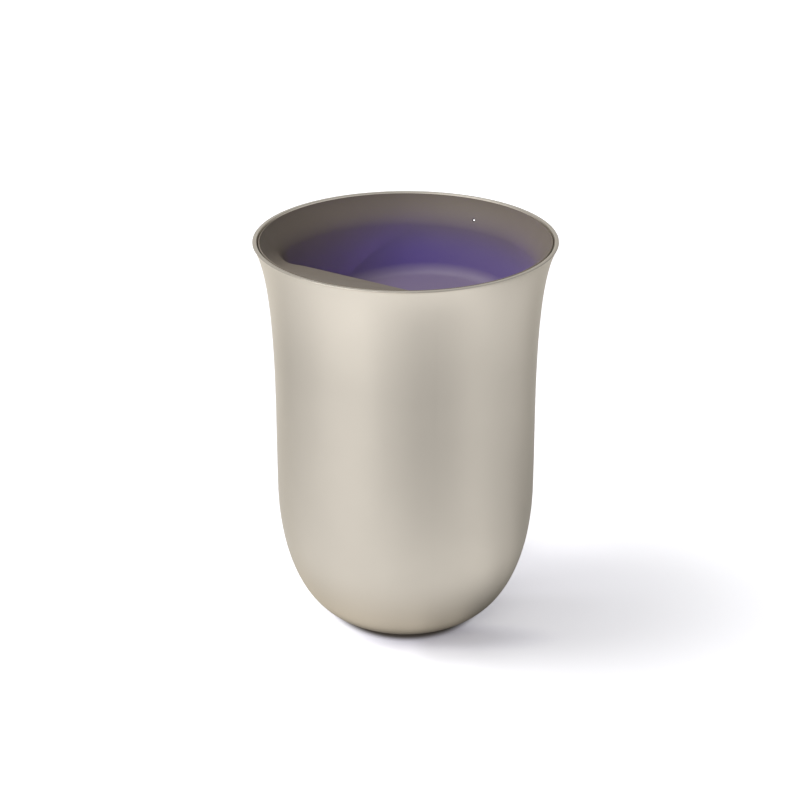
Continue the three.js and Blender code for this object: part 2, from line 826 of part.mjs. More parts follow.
function buildRest() {
  const front = plate(rest.width, restLength, restFlangeLow, 0, rest.corner);
  const flange = plate(
    rest.width + 2 * rest.flangeMargin,
    restLength + 2 * rest.flangeMargin,
    restFlangeLow,
    restFlangeHigh,
    rest.corner,
  );
  const trayCorner = rest.corner - rest.sideWall / 2;
  const tray = plate(trayWidth, trayLength, restFlangeLow - overrun, -rest.skin, trayCorner);
  const holes = restScrewPlaces.map(([x, y]) =>
    shift(bar(holeFor(smallScrew), restFlangeLow - overrun, restFlangeHigh + overrun, screwSides), x, y, 0),
  );
  add(restFrame, "charging_panel", cut(front.add(flange), [tray, ...holes]), finish.darkPlastic);

  const coilHigh = -rest.skin - seatGap;
  const coilLow = coilHigh - rest.coilThickness;
  const ferriteHigh = coilLow - seatGap;
  const ferriteLow = ferriteHigh - rest.ferriteThickness;
  const shieldHigh = ferriteLow - seatGap;
  const shieldLow = shieldHigh - rest.shieldThickness;
  const coil = add(
    restFrame,
    "charging_coil",
    ring(rest.coilInnerRadius, ferriteSize / 2 - rest.coilMargin, coilLow, coilHigh),
    finish.copper,
  );
  coil.position.y = coilMiddle;
  const leadHole = shift(
    bar(rest.leadHoleRadius, shieldLow - overrun, ferriteHigh + overrun, screwSides),
    rest.leadHoleOffset,
    coilMiddle,
    0,
  );
  const tile = block(ferriteSize, ferriteSize, ferriteLow, ferriteHigh);
  const sheet = shift(tile, 0, coilMiddle, 0);
  add(restFrame, "coil_ferrite", sheet.subtract(leadHole), finish.ferrite);
  const cover = plate(
    trayWidth - 2 * rest.shieldMargin,
    trayLength - 2 * rest.shieldMargin,
    shieldLow,
    shieldHigh,
    trayCorner,
  );
  add(restFrame, "coil_shield", cover.subtract(leadHole), finish.aluminium);
  restScrewPlaces.forEach(([x, y], i) => {
    const fastener = add(restFrame, `panel_screw_${i + 1}`, screw(smallScrew), finish.steel);
    fastener.rotation.x = Math.PI;
    fastener.position.set(x, y, restFlangeLow - solderGap);
  });
}

function buildStatusLight() {
  const lensEnd = liner.wall - status.lensRecess;
  const lens = bar(status.lensRadius, lensEnd - status.lensLength, lensEnd, screwSides);
  add(lightFrame, "status_lens", lens, finish.lightPipe);
  const chip = block(status.ledWidth, status.ledHeight, 0, status.ledDepth);
  add(lightFrame, "status_led", chip, finish.ceramic);
  const strip = plate(
    status.boardWidth,
    status.boardLength,
    -status.boardGap - status.boardThickness,
    -status.boardGap,
    status.boardWidth / 4,
  );
  add(lightFrame, "status_board", shift(strip, 0, -status.boardDrop, 0), finish.boardGreen);
}

function buildBase() {
  const { ringInnerRadius, ringOuterRadius, ringThickness } = base;
  add(sanitizer, "foot_ring", ring(ringInnerRadius, ringOuterRadius, 0, ringThickness), finish.rubber);
  const flangeTop = flangeLow + base.flangeThickness;
  const hubRadius = shell.hubHoleRadius - fitGap;
  const disc = bar(base.flangeRadius, flangeLow, flangeTop).add(bar(hubRadius, flangeLow, hubTop));
  const counterbore = caseScrew.headRadius + fitGap;
  const holes = baseScrewPlaces.flatMap(([x, y]) => [
    shift(bar(holeFor(caseScrew), 0, hubTop + overrun, screwSides), x, y, 0),
    shift(bar(counterbore, 0, baseScrewSeat, screwSides), x, y, 0),
  ]);
  add(sanitizer, "base_plate", cut(disc, holes), finish.darkPlastic);
  const clearance = caseScrew.shankRadius + fitGap;
  const weightHole = bar(clearance, ballastLow - overrun, ballastTop + overrun, screwSides);
  const weightHoles = baseScrewPlaces.map(([x, y]) => shift(weightHole, x, y, 0));
  const weight = bar(base.ballastRadius, ballastLow, ballastTop);
  add(sanitizer, "ballast_weight", cut(weight, weightHoles), finish.steel);
  baseScrewPlaces.forEach(([x, y], i) => {
    const fastener = add(sanitizer, `base_screw_${i + 1}`, screw(caseScrew, baseScrewLength), finish.steel);
    fastener.rotation.x = Math.PI;
    fastener.position.set(x, y, baseScrewSeat - solderGap);
  });
}

function buildChassis() {
  const floor = bar(chassis.floorRadius, chassisLow, chassisTop, shellSides);
  const foot = chassis.uprightFootWidth / 2;
  const full = chassis.uprightWidth / 2;
  const spreadTop = chassisTop + chassis.uprightSpread;
  const outline = new THREE.Shape(
    [
      [-foot, chassisLow],
      [foot, chassisLow],
      [full, spreadTop],
      [full, tabHeight],
      [-full, tabHeight],
      [-full, spreadTop],
    ].map(([x, z]) => new THREE.Vector2(x, z)),
  );
  const standing = extrude(outline, chassis.uprightThickness).rotate([90, 0, 0]);
  const upright = shift(standing, 0, uprightRear, 0);
  const tabLow = tabHeight - chassis.tabThickness;
  const tab = shift(
    block(chassis.uprightWidth, chassis.tabDepth, tabLow, tabHeight),
    0,
    uprightRear - chassis.tabDepth / 2,
    0,
  );
  const gussetShape = new THREE.Shape(
    [
      [uprightFront + fuseDepth, chassisTop - fuseDepth],
      [uprightFront + fuseDepth, chassisTop + chassis.gussetHeight],
      [uprightFront - chassis.gussetDepth, chassisTop - fuseDepth],
    ].map(([y, z]) => new THREE.Vector2(y, z)),
  );
  const gussets = [-1, 1].map((side) =>
    shift(
      acrossX(extrude(gussetShape, chassis.gussetThickness), chassis.gussetThickness),
      (side * chassis.gussetSpread) / 2,
      0,
      0,
    ),
  );
  const bossTop = chassisTop + chassis.bossHeight;
  const screwBoss = bar(bossRadius(caseScrew), chassisTop - fuseDepth, bossTop, screwSides);
  const screwBosses = baseScrewPlaces.map(([x, y]) => shift(screwBoss, x, y, 0));
  const boardBosses = boardScrewPlaces.map(([x, z]) =>
    alongY(bar(bossRadius(smallScrew), -fuseDepth, chassis.boardBossHeight, screwSides), x, uprightRear, z),
  );
  const drilled = (radius, places, low, high) =>
    places.map(([x, y]) => shift(bar(radius, low, high, screwSides), x, y, 0));
  const wide = holeFor(caseScrew);
  const boardHole = bar(holeFor(smallScrew), -overrun - chassis.uprightThickness, overrun, screwSides);
  const cuts = [
    ...drilled(wide, baseScrewPlaces, chassisLow - overrun, bossTop + overrun),
    ...drilled(wide, frontPosts, chassisLow - overrun, chassisTop + overrun),
    ...drilled(wide, rearBosses, tabLow - overrun, tabHeight + overrun),
    ...boardScrewPlaces.map(([x, z]) => alongY(boardHole, x, uprightRear, z)),
    shift(
      block(
        chassis.slotWidth,
        chassis.uprightThickness + overrun,
        boardTop + chassis.slotAboveBoard,
        boardTop + chassis.slotAboveBoard + chassis.slotHeight,
      ),
      0,
      uprightRear - chassis.uprightThickness / 2,
      0,
    ),
  ];
  const made = cut(joined([floor, upright, tab, ...gussets, ...screwBosses, ...boardBosses]), cuts);
  add(sanitizer, "chassis", made, finish.darkPlastic);

  const seats = [
    ...frontPosts.map((place) => [place, chassisLow]),
    ...rearBosses.map((place) => [place, tabLow]),
  ];
  seats.forEach(([[x, y], seat], i) => {
    const fastener = add(sanitizer, `chassis_screw_${i + 1}`, screw(caseScrew), finish.steel);
    fastener.rotation.x = Math.PI;
    fastener.position.set(x, y, seat - solderGap);
  });
}

// A group on the main board's rear face. Its Z points to the rear, its X to -X and its Y up.
function onBoard(x, height) {
  const group = new THREE.Group();
  group.position.set(x, boardRear + solderGap, height);
  group.rotation.set(-Math.PI / 2, 0, Math.PI, "XZY");
  sanitizer.add(group);
  return group;
}

const connectorHeight = boardTop - board.connectorInset;
const connectorTop = connectorHeight + board.connectorHeight / 2;

function buildBoard() {
  const holes = boardScrewPlaces.map(([x, z]) =>
    alongY(bar(holeFor(smallScrew), -overrun, board.thickness + overrun, screwSides), x, boardFront, z),
  );
  const sheet = shift(
    plate(board.width, board.length, 0, board.thickness, board.corner).rotate([90, 0, 0]),
    0,
    boardRear,
    boardMiddle,
  );
  add(sanitizer, "main_board", cut(sheet, holes), finish.boardGreen);
  boardScrewPlaces.forEach(([x, z], i) => {
    add(onBoard(x, z), `board_screw_${i + 1}`, screw(smallScrew), finish.steel);
  });
  const chip = block(board.chipSize, board.chipSize, 0, board.chipThickness);
  add(onBoard(-board.chipOffset, button.height), "control_chip", chip, finish.chipBlack);
  add(onBoard(board.chipOffset, button.height), "charge_chip", chip, finish.chipBlack);
  add(
    onBoard(-board.chipOffset, board.bottom + board.inductorHeightOnBoard),
    "power_inductor",
    bar(board.inductorRadius, 0, board.inductorHeight, screwSides),
    finish.ferrite,
  );
  ["coil", "status", "uv"].forEach((kind, i) => {
    add(
      onBoard((i - 1) * board.connectorSpacing, connectorHeight),
      `${kind}_connector`,
      block(board.connectorWidth, board.connectorHeight, 0, board.connectorDepth),
      finish.boardWhite,
    );
  });
}

function buildInlet() {
  const group = onBoard(0, inlet.height);
  const length = radiusAt(outerOutline, inlet.height) - inlet.recess - boardRear - solderGap;
  const floor = length - inlet.pocketDepth;
  const body = stadium(inlet.width, inlet.thickness, 0, length);
  const mouth = stadium(
    inlet.width - 2 * inlet.wall,
    inlet.thickness - 2 * inlet.wall,
    floor,
    length + overrun,
  );
  add(group, "inlet_socket", body.subtract(mouth), finish.steel);
  const tongueLow = floor + solderGap;
  add(
    group,
    "inlet_tongue",
    block(inlet.tongueWidth, inlet.tongueThickness, tongueLow, tongueLow + inlet.tongueLength),
    finish.chipBlack,
  );
}

function buildButton() {
  const bore = button.capRadius + button.runningGap;
  const guide = revolve([
    [bore, guideBack],
    [guideRadius + button.guideFlangeWidth, guideBack],
    [guideRadius + button.guideFlangeWidth, guideBack + button.guideFlangeThickness],
    [guideRadius, guideBack + button.guideFlangeThickness],
    [guideRadius, guideFace],
    [bore, guideFace],
    [bore, guideBack],
  ]);
  add(sanitizer, "button_guide", alongY(guide, 0, 0, button.height), finish.darkPlastic);
  const capFace = radiusAt(outerOutline, button.height) + button.capProud;
  const retainer = button.capRadius + button.retainerWidth;
  const cap = revolve([
    [0, retainerBack],
    [retainer, retainerBack],
    [retainer, retainerFace],
    [button.capRadius, retainerFace],
    [button.capRadius, capFace - button.capDome],
    [button.capRadius - button.capDome, capFace],
    [0, capFace],
  ]);
  add(sanitizer, "button_cap", alongY(cap, 0, 0, button.height), finish.shellMetal);

  const group = onBoard(0, button.height);
  const boreRadius = button.plungerRadius + button.plungerGap;
  const housing = block(button.switchSize, button.switchSize, 0, button.switchHeight);
  const well = bar(boreRadius, button.switchHeight - plungerBore, button.switchHeight + overrun, screwSides);
  add(group, "button_switch", housing.subtract(well), finish.chipBlack);
  const tip = button.switchHeight + plungerProud;
  const plunger = bar(button.plungerRadius, tip - button.plungerLength, tip, screwSides);
  add(group, "switch_plunger", plunger, finish.lightPipe);
}

function buildLeads() {
  const connectorFace = boardRear + solderGap + board.connectorDepth / 2;
  const slotMiddle = boardTop + chassis.slotAboveBoard + chassis.slotHeight / 2;
  const place = (group, x, y, z) => group.localToWorld(new THREE.Vector3(x, y, z)).toArray();
  sanitizer.updateMatrixWorld(true);
  const coilBack = -rest.skin - seatGap - rest.coilThickness - lead.endGap;
  const behindRest = restFlangeLow - 2 * lead.radius;
  const x = -board.connectorSpacing;
  const coilRoute = [
    place(restFrame, rest.leadHoleOffset, coilMiddle, coilBack),
    place(restFrame, rest.leadHoleOffset, coilMiddle, restFlangeLow),
    place(restFrame, rest.leadHoleOffset / 2, coilMiddle, behindRest - rest.leadHoleOffset),
    [x, uprightFront - chassis.tabDepth, slotMiddle],
    [x, uprightRear - chassis.uprightThickness / 2, slotMiddle],
    [x, connectorFace, slotMiddle - 2 * lead.radius],
    [x, connectorFace, connectorTop + lead.endGap],
  ];
  add(sanitizer, "coil_lead", tube(coilRoute, lead.radius), finish.leadJacket);

  const [, lowerFrame] = lampFrames;
  const lampBack = lampBoardHigh + lead.endGap + lead.radius;
  const uvX = board.connectorSpacing;
  const underFloor = liner.floorHeight - liner.wall - 3 * lead.radius;
  const uvRoute = [
    place(lowerFrame, uvX, -lamp.boardHeight / 4, lampBack),
    place(lowerFrame, uvX, -lamp.boardHeight, lampBack),
    [uvX, -liner.floorFront - liner.wall - 4 * lead.radius, liner.floorHeight + liner.wall],
    [uvX, -liner.floorFront + 3 * lead.radius, underFloor],
    [uvX, -liner.floorBack, underFloor - lead.radius],
    [uvX, 0, underFloor - lead.radius],
    [uvX, uprightFront - chassis.gussetDepth, underFloor + chassis.gussetDepth / 2],
    [uvX, uprightFront - 3 * lead.radius, boardMiddle],
    [uvX, uprightFront - 3 * lead.radius, slotMiddle - chassis.slotHeight / 2],
    [uvX, uprightRear - chassis.uprightThickness / 2, slotMiddle],
    [uvX, connectorFace, slotMiddle - 2 * lead.radius],
    [uvX, connectorFace, connectorTop + lead.endGap],
  ];
  add(sanitizer, "uv_lead", tube(uvRoute, lead.radius), finish.leadJacket);

  const [upperFrame] = lampFrames;
  const linkX = lamp.ledSpread / 2;
  const linkRoute = [
    place(upperFrame, linkX, -lamp.boardHeight / 4, lampBack),
    place(upperFrame, linkX, -lamp.boardHeight, lampBack),
    place(lowerFrame, linkX, lamp.boardHeight, lampBack),
    place(lowerFrame, linkX, lamp.boardHeight / 4, lampBack),
  ];
  add(sanitizer, "uv_link_lead", tube(linkRoute, lead.radius), finish.leadJacket);

  const gapMiddle = (height) => (linerRadius(height) + radiusAt(innerOutline, height)) / 2;
  const boardFoot = -status.boardDrop - status.boardLength / 2;
  const boardEnd = place(lightFrame, 0, boardFoot - lead.endGap - lead.thinRadius, -status.boardGap);
  const entry = slotMiddle + chassis.slotHeight;
  const descent = Array.from({ length: lead.descentPoints }, (_, i) =>
    THREE.MathUtils.lerp(boardEnd[2], entry, i / (lead.descentPoints - 1)),
  );
  const statusRoute = [
    ...descent.map((height) => [0, gapMiddle(height), height]),
    [0, connectorFace, slotMiddle - 2 * lead.radius],
    [0, connectorFace, connectorTop + lead.endGap],
  ];
  add(sanitizer, "status_lead", tube(statusRoute, lead.thinRadius), finish.leadJacket);
}

buildShell();
buildLiner();
buildLamps();
buildRest();
buildStatusLight();
buildBase();
buildChassis();
buildBoard();
buildInlet();
buildButton();
buildLeads();

export default sanitizer;
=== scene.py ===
"""Looks of a vase-shaped phone sanitizer: satin metal shell, moulded liner and violet-lit phone pocket.

Sizes are in millimetres and are turned into metres when a mesh is made. +Z is up and the front faces -Y.
"""
import logging
import math
from dataclasses import dataclass, field
from enum import Enum
from typing import Sequence

import bmesh
import bpy
import numpy as np
from mathutils import Matrix, Vector


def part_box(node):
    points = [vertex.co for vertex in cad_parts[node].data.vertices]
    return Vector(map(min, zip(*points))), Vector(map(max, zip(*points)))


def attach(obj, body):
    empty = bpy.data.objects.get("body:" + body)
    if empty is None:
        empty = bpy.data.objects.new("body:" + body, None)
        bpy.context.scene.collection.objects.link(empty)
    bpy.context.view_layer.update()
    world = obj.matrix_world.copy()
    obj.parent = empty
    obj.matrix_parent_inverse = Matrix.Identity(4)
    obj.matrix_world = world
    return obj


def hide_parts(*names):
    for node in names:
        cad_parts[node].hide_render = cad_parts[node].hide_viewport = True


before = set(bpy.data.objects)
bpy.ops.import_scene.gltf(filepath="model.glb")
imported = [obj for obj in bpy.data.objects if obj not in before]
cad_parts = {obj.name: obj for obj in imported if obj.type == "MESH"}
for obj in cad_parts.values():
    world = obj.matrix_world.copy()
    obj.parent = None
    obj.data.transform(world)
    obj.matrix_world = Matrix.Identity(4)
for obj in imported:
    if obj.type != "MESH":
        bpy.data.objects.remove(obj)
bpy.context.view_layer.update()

MM = 0.001
LOG = logging.getLogger("phone_sanitizer")

Color = tuple[float, float, float]
Place = tuple[float, float]
Ring = tuple[Place, ...]
Sizes = tuple[float, ...]
Piece = bpy.types.Object
Socket = bpy.types.NodeSocket
Outputs = bpy.types.bpy_prop_collection

WHITE: Color = (1.0, 1.0, 1.0)
EVEN: Sizes = (1.0, 1.0, 1.0)
# What keeps a half round or a step from closing to nothing.
HAIR = 0.01
# How far a cutter reaches past a face.
OVERCUT = 2.0
# Points that lie closer than this are one.
DOUBLES = 0.001


class Body(Enum):
    """The bodies that a piece can ride on."""

    CASE = "case"
    BUTTON = "button"


class Blend(Enum):
    """How another shape changes a piece."""

    ADD = "UNION"
    CUT = "DIFFERENCE"


class Slot(Enum):
    """The record's material slots."""

    SHELL = "shell_metal"
    LINER = "liner_plastic"
    DARK = "dark_plastic"
    RUBBER = "rubber"
    WINDOW = "window_glass"
    REFLECTOR = "reflector_metal"
    BOARD = "board_green"
    WHITE_BOARD = "board_white"
    CHIP = "chip_black"
    CERAMIC = "ceramic"
    COPPER = "copper"
    FERRITE = "ferrite"
    SHIELD = "shield_metal"
    STEEL = "steel"
    JACKET = "lead_jacket"
    LIGHT_PIPE = "light_pipe"


class Graph:
    """Adds nodes to a node tree and links them."""

    def __init__(self, tree: bpy.types.NodeTree) -> None:
        """Keeps the tree that the nodes go into."""
        self.tree = tree

    def feed(self, node: bpy.types.Node, inputs: dict) -> None:
        """Sets or links a node's inputs.

        Args:
            node: the node.
            inputs: socket name or index to a value or to an output socket.
        """
        for key, value in inputs.items():
            if isinstance(value, Socket):
                self.tree.links.new(value, node.inputs[key])
            else:
                node.inputs[key].default_value = value

    def add(self, kind: str, inputs: dict | None = None, **settings: object) -> Outputs:
        """Adds one node.

        Args:
            kind: the node's type name.
            inputs: socket name or index to a value or to an output socket.
            **settings: the node's own properties.

        Returns:
            The new node's outputs.
        """
        node = self.tree.nodes.new(kind)
        for key, value in settings.items():
            setattr(node, key, value)
        self.feed(node, inputs or {})
        return node.outputs

    def math(self, operation: str, *values: object) -> Socket:
        """Adds a math node to numbers or sockets, in the node's order, and returns the result's socket."""
        return self.add("ShaderNodeMath", dict(enumerate(values)), operation=operation)[0]

    def vector(self, operation: str, *values: object, **named: object) -> Socket:
        """Adds a vector math node.

        Args:
            operation: the node's operation.
            *values: vectors or sockets, in the node's order.
            **named: inputs by their own name.

        Returns:
            The socket of the resulting number or vector.
        """
        inputs = dict(enumerate(values)) | named
        outputs = self.add("ShaderNodeVectorMath", inputs, operation=operation)
        return outputs["Value" if operation in ("LENGTH", "DOT_PRODUCT") else "Vector"]

    def parts(self, vector: Socket) -> Outputs:
        """Returns the sockets X, Y and Z of a vector."""
        return self.add("ShaderNodeSeparateXYZ", {0: vector})

    def ramp(self, value: Socket, start: Place, end: Place = (0.0, 1.0), soft: bool = True) -> Socket:
        """Maps one range to another and holds it at both ends.

        Args:
            value: what is measured.
            start: the range of the value.
            end: the range of the result.
            soft: whether the result eases in and out.

        Returns:
            The result's socket.
        """
        keys = ("Value", "From Min", "From Max", "To Min", "To Max")
        inputs = dict(zip(keys, (value, *start, *end)))
        kind = "SMOOTHSTEP" if soft else "LINEAR"
        return self.add("ShaderNodeMapRange", inputs, interpolation_type=kind)["Result"]

    def mix(self, share: object, first: object, second: object) -> Socket:
        """Mixes two colours or sockets by the second one's share and returns the mixed colour's socket."""
        ends = (value if isinstance(value, Socket) else (*value, 1.0) for value in (first, second))
        return self.add("ShaderNodeMix", {0: share, **dict(zip((6, 7), ends))}, data_type="RGBA")[2]


class Paint(Graph):
    """A material with a Principled surface on Object coordinates."""

    NOISE_RANGE: Place = (0.3, 0.7)
    DETAIL = 3.0

    def __init__(self, name: str) -> None:
        """Makes the material, its surface node and its coordinates.

        Args:
            name: the material's name.
        """
        self.material = bpy.data.materials.new(name)
        self.material.use_nodes = True
        super().__init__(self.material.node_tree)
        self.surface = self.tree.nodes["Principled BSDF"]
        found = self.add("ShaderNodeTexCoord")
        self.place, self.facing = found["Object"], found["Normal"]

    def put(self, inputs: dict) -> None:
        """Sets or links the surface's inputs, from their names to numbers, colours or sockets."""
        self.feed(self.surface, inputs)

    def glow(self, color: Color, strength: Socket) -> None:
        """Lets the surface give light of one colour, with a strength that varies over it."""
        self.put({"Emission Color": (*color, 1.0), "Emission Strength": strength})

    def noise(self, scale: float, stretch: Sizes = EVEN) -> Socket:
        """Returns a pattern from 0 to 1 with so many features in a metre, stretched along each axis."""
        where = self.add("ShaderNodeMapping", {"Vector": self.place, "Scale": stretch})[0]
        return self.add("ShaderNodeTexNoise", {"Vector": where, "Scale": scale, "Detail": self.DETAIL})["Fac"]

    def spread(self, value: Socket, low: float, high: float) -> Socket:
        """Returns a pattern with its middle range mapped to a range from low to high."""
        return self.ramp(value, self.NOISE_RANGE, (low, high), soft=False)


def tinted(color: Color, factor: float) -> Color:
    """Returns a colour made lighter or darker by a factor."""
    return tuple(min(1.0, part * factor) for part in color)


def metres(*sizes: float) -> Sizes:
    """Returns sizes in millimetres as metres."""
    return tuple(size * MM for size in sizes)


@dataclass(frozen=True)
class Finish:
    """A surface whose colour, gloss and relief wander a little, as on a real moulding or casting."""

    name: str
    color: Color
    roughness: float
    metallic: float = 0.0
    wander: float = 0.05
    wander_scale: float = 40.0
    gloss_wander: float = 0.04
    grain_scale: float = 1400.0
    grain_height: float = 0.00001
    grain_stretch: Sizes = EVEN
    specular: float = 0.5
    gloss_pace: float = 3.0

    def tone(self, paint: Paint) -> Socket:
        """Returns the colour, which wanders between a darker and a lighter one."""
        patch = paint.spread(paint.noise(self.wander_scale), 0.0, 1.0)
        return paint.mix(patch, *(tinted(self.color, 1.0 + way * self.wander) for way in (-1, 1)))

    def paint(self) -> Paint:
        """Makes the surface.

        Returns:
            Its open node tree.
        """
        paint = Paint(self.name)
        low, high = self.roughness - self.gloss_wander, self.roughness + self.gloss_wander
        gloss = paint.noise(self.wander_scale * self.gloss_pace, self.grain_stretch)
        grain = paint.noise(self.grain_scale, self.grain_stretch)
        relief = {"Height": grain, "Distance": self.grain_height, "Strength": 1.0}
        paint.put({
            "Base Color": self.tone(paint), "Roughness": paint.spread(gloss, low, high),
            "Metallic": self.metallic, "Specular IOR Level": self.specular,
            "Normal": paint.add("ShaderNodeBump", relief)["Normal"],
        })
        return paint

    def material(self) -> bpy.types.Material:
        """Returns the finished material."""
        return self.paint().material


@dataclass(frozen=True)
class SatinShell(Finish):
    """Champagne metal, satin on the body, with a painted highlight that lightens the flare, and darker along
    the lip.
    """

    flare_heights: Place = (126.0, 176.0)
    # Painted highlight: how much lighter the flare's colour is made, for the brighter reflection it shows.
    flare_highlight: float = 1.22
    lip_heights: Place = (179.5, 179.95)
    lip_brightness: float = 0.62
    edge_tint: Color = (1.0, 0.965, 0.89)

    def tone(self, paint: Paint) -> Socket:
        """Adds a painted highlight on the flare and a darker band along the lip to the colour.

        Args:
            paint: the open node tree.

        Returns:
            The colour's socket.
        """
        tone, height = super().tone(paint), paint.parts(paint.place)["Z"]
        steps = ((self.flare_heights, self.flare_highlight), (self.lip_heights, self.lip_brightness))
        for heights, brightness in steps:
            tone = paint.mix(paint.ramp(height, metres(*heights)), tone, tinted(self.color, brightness))
        return tone

    def material(self) -> bpy.types.Material:
        """Tints what the metal mirrors at its edges.

        Returns:
            The finished material.
        """
        paint = self.paint()
        paint.put({"Specular Tint": (*self.edge_tint, 1.0)})
        return paint.material


@dataclass(frozen=True)
class LitWindow(Finish):
    """Frosted quartz with the violet of the lamps behind it."""

    light: Color = (0.26, 0.17, 1.0)
    strength: float = 44.0
    upper_share: float = 0.06
    parting: float = 125.0
    lamp_spread: float = 26.0
    falloff: float = 17.0

    def material(self) -> bpy.types.Material:
        """Lights the face to the pocket with two lamps, the upper window only a little.

        Returns:
            The finished material.
        """
        paint = self.paint()
        place = paint.parts(paint.place)
        away = paint.math("SUBTRACT", paint.math("ABSOLUTE", place["X"]), self.lamp_spread / 2 * MM)
        share = paint.math("DIVIDE", away, self.falloff * MM)
        level = paint.math("SUBTRACT", 1.0, paint.math("MULTIPLY", share, share))
        inward = paint.math("GREATER_THAN", paint.parts(paint.facing)["Y"], 0.5)
        upper = paint.math("GREATER_THAN", place["Z"], self.parting * MM)
        dimmed = paint.math("SUBTRACT", 1.0, paint.math("MULTIPLY", upper, 1.0 - self.upper_share))
        lit = paint.math("MULTIPLY", paint.math("MULTIPLY", level, inward), dimmed)
        paint.glow(self.light, paint.math("MULTIPLY", lit, self.strength))
        return paint.material


@dataclass(frozen=True)
class GlowPaintedLiner(Finish):
    """The liner's matt moulding, with a painted violet glow on the walls behind the pocket in place of the
    lamps' scattered light.
    """

    light: Color = (0.1, 0.025, 1.0)
    strength: float = 0.138
    fade_heights: Place = (178.5, 154.0)
    deep_heights: Place = (108.0, 142.0)
    fade_across: Place = (-64.0, -20.0)
    shelf_edge: Place = (-20.0, -8.0)
    upward_share: float = 0.8

    def material(self) -> bpy.types.Material:
        """Paints a glow on the faces that look at the pocket, level ones less, in place of the lamps' light.

        Returns:
            The finished material.
        """
        paint = self.paint()
        place = paint.parts(paint.place)
        level = self.strength
        fades = (self.fade_heights, self.deep_heights, self.fade_across, self.shelf_edge)
        for axis, ends in zip("ZZXY", fades):
            level = paint.math("MULTIPLY", level, paint.ramp(place[axis], metres(*ends)))
        level_place = paint.vector("MULTIPLY", paint.place, (1.0, 1.0, 0.0))
        outwards = paint.vector("DOT_PRODUCT", paint.facing, level_place)
        level = paint.math("MULTIPLY", level, paint.math("LESS_THAN", outwards, 0.0))
        upward = paint.math("MULTIPLY_ADD", paint.parts(paint.facing)["Z"], self.upward_share - 1.0, 1.0)
        # Painted light: the lamps' violet is emission in the liner's own surface.
        paint.glow(self.light, paint.math("MULTIPLY", level, upward))
        return paint.material


@dataclass(frozen=True)
class PointLight(Finish):
    """A small lens lit from behind."""

    light: Color = WHITE
    strength: float = 2.6
    height: float = 171.45
    bright_radii: Place = (0.15, 0.52)
    flatten: float = 1.5

    def material(self) -> bpy.types.Material:
        """Lights the lens, most in its middle.

        Returns:
            The finished material.
        """
        paint = self.paint()
        place = paint.parts(paint.place)
        rise = paint.math("MULTIPLY", paint.math("SUBTRACT", place["Z"], self.height * MM), self.flatten)
        squares = paint.math("MULTIPLY_ADD", rise, rise, paint.math("MULTIPLY", place["X"], place["X"]))
        radii, levels = metres(*self.bright_radii), (self.strength, 0.0)
        paint.glow(self.light, paint.ramp(paint.math("SQRT", squares), radii, levels, soft=False))
        return paint.material


@dataclass(frozen=True)
class Laminate(Finish):
    """A circuit board under lacquer, with the copper runs showing through."""

    run_color: Color = (0.05, 0.13, 0.08)
    run_pitch: float = 300.0
    run_edge: Place = (0.42, 0.5)
    run_disorder: float = 0.4

    def tone(self, paint: Paint) -> Socket:
        """Adds the lines of the runs to the board's colour.

        Args:
            paint: the open node tree.

        Returns:
            The colour's socket.
        """
        inputs = {"Vector": paint.place, "Scale": self.run_pitch, "Randomness": self.run_disorder}
        cells = paint.add("ShaderNodeTexVoronoi", inputs, feature="F1", distance="CHEBYCHEV")
        edge = paint.ramp(cells["Distance"], self.run_edge, soft=False)
        return paint.mix(edge, super().tone(paint), self.run_color)


class Finishes:
    """The finishes of this object, made once each."""

    CHOICES: dict[Slot, Finish] = {
        Slot.SHELL: SatinShell(
            "satin champagne metal", (0.62, 0.573, 0.502), 0.34, metallic=0.93, wander=0.025,
            wander_scale=18.0, gloss_wander=0.03, grain_scale=2600.0, grain_height=0.000004,
        ),
        # The liner's finish carries a painted violet glow.
        Slot.LINER: GlowPaintedLiner(
            "matt warm grey moulding", (0.172, 0.142, 0.11), 0.55, wander=0.035, grain_height=0.00002,
            specular=0.4,
        ),
        Slot.DARK: Finish("dark moulded plastic", (0.055, 0.051, 0.048), 0.5, grain_height=0.00002),
        Slot.RUBBER: Finish("soft dark rubber", (0.032, 0.03, 0.03), 0.8, wander=0.15, grain_height=0.00003),
        Slot.WINDOW: LitWindow("frosted quartz over violet lamps", (0.55, 0.52, 0.75), 0.25),
        Slot.REFLECTOR: Finish("bright anodised reflector", (0.82, 0.82, 0.84), 0.12, metallic=1.0),
        Slot.BOARD: Laminate("green lacquered board", (0.02, 0.075, 0.04), 0.4),
        Slot.WHITE_BOARD: Finish("white lacquered board", (0.72, 0.72, 0.69), 0.45),
        Slot.CHIP: Finish("black moulded epoxy", (0.016, 0.016, 0.018), 0.5, grain_height=0.00002),
        Slot.CERAMIC: Finish("cream ceramic", (0.76, 0.7, 0.55), 0.35),
        Slot.COPPER: Finish("lacquered copper wire", (0.62, 0.24, 0.1), 0.32, metallic=1.0),
        Slot.FERRITE: Finish("sintered ferrite", (0.045, 0.047, 0.052), 0.7, grain_height=0.00004),
        Slot.SHIELD: Finish(
            "rolled aluminium sheet", (0.56, 0.57, 0.58), 0.38, metallic=1.0, grain_stretch=(1.0, 14.0, 14.0),
        ),
        Slot.STEEL: Finish("zinc plated steel", (0.5, 0.5, 0.49), 0.33, metallic=1.0, wander=0.08),
        Slot.JACKET: Finish("black lead jacket", (0.02, 0.02, 0.023), 0.55),
        Slot.LIGHT_PIPE: PointLight("clear light pipe", (0.2, 0.175, 0.165), 0.4),
    }

    def __init__(self) -> None:
        """Starts with no material made."""
        self._made: dict[Slot, bpy.types.Material] = {}

    def of(self, slot: Slot) -> bpy.types.Material:
        """Makes a slot's material the first time that it is asked for.

        Args:
            slot: the record's material slot.

        Returns:
            The material.
        """
        if slot not in self._made:
            self._made[slot] = self.CHOICES[slot].material()
        return self._made[slot]


FINISHES = Finishes()


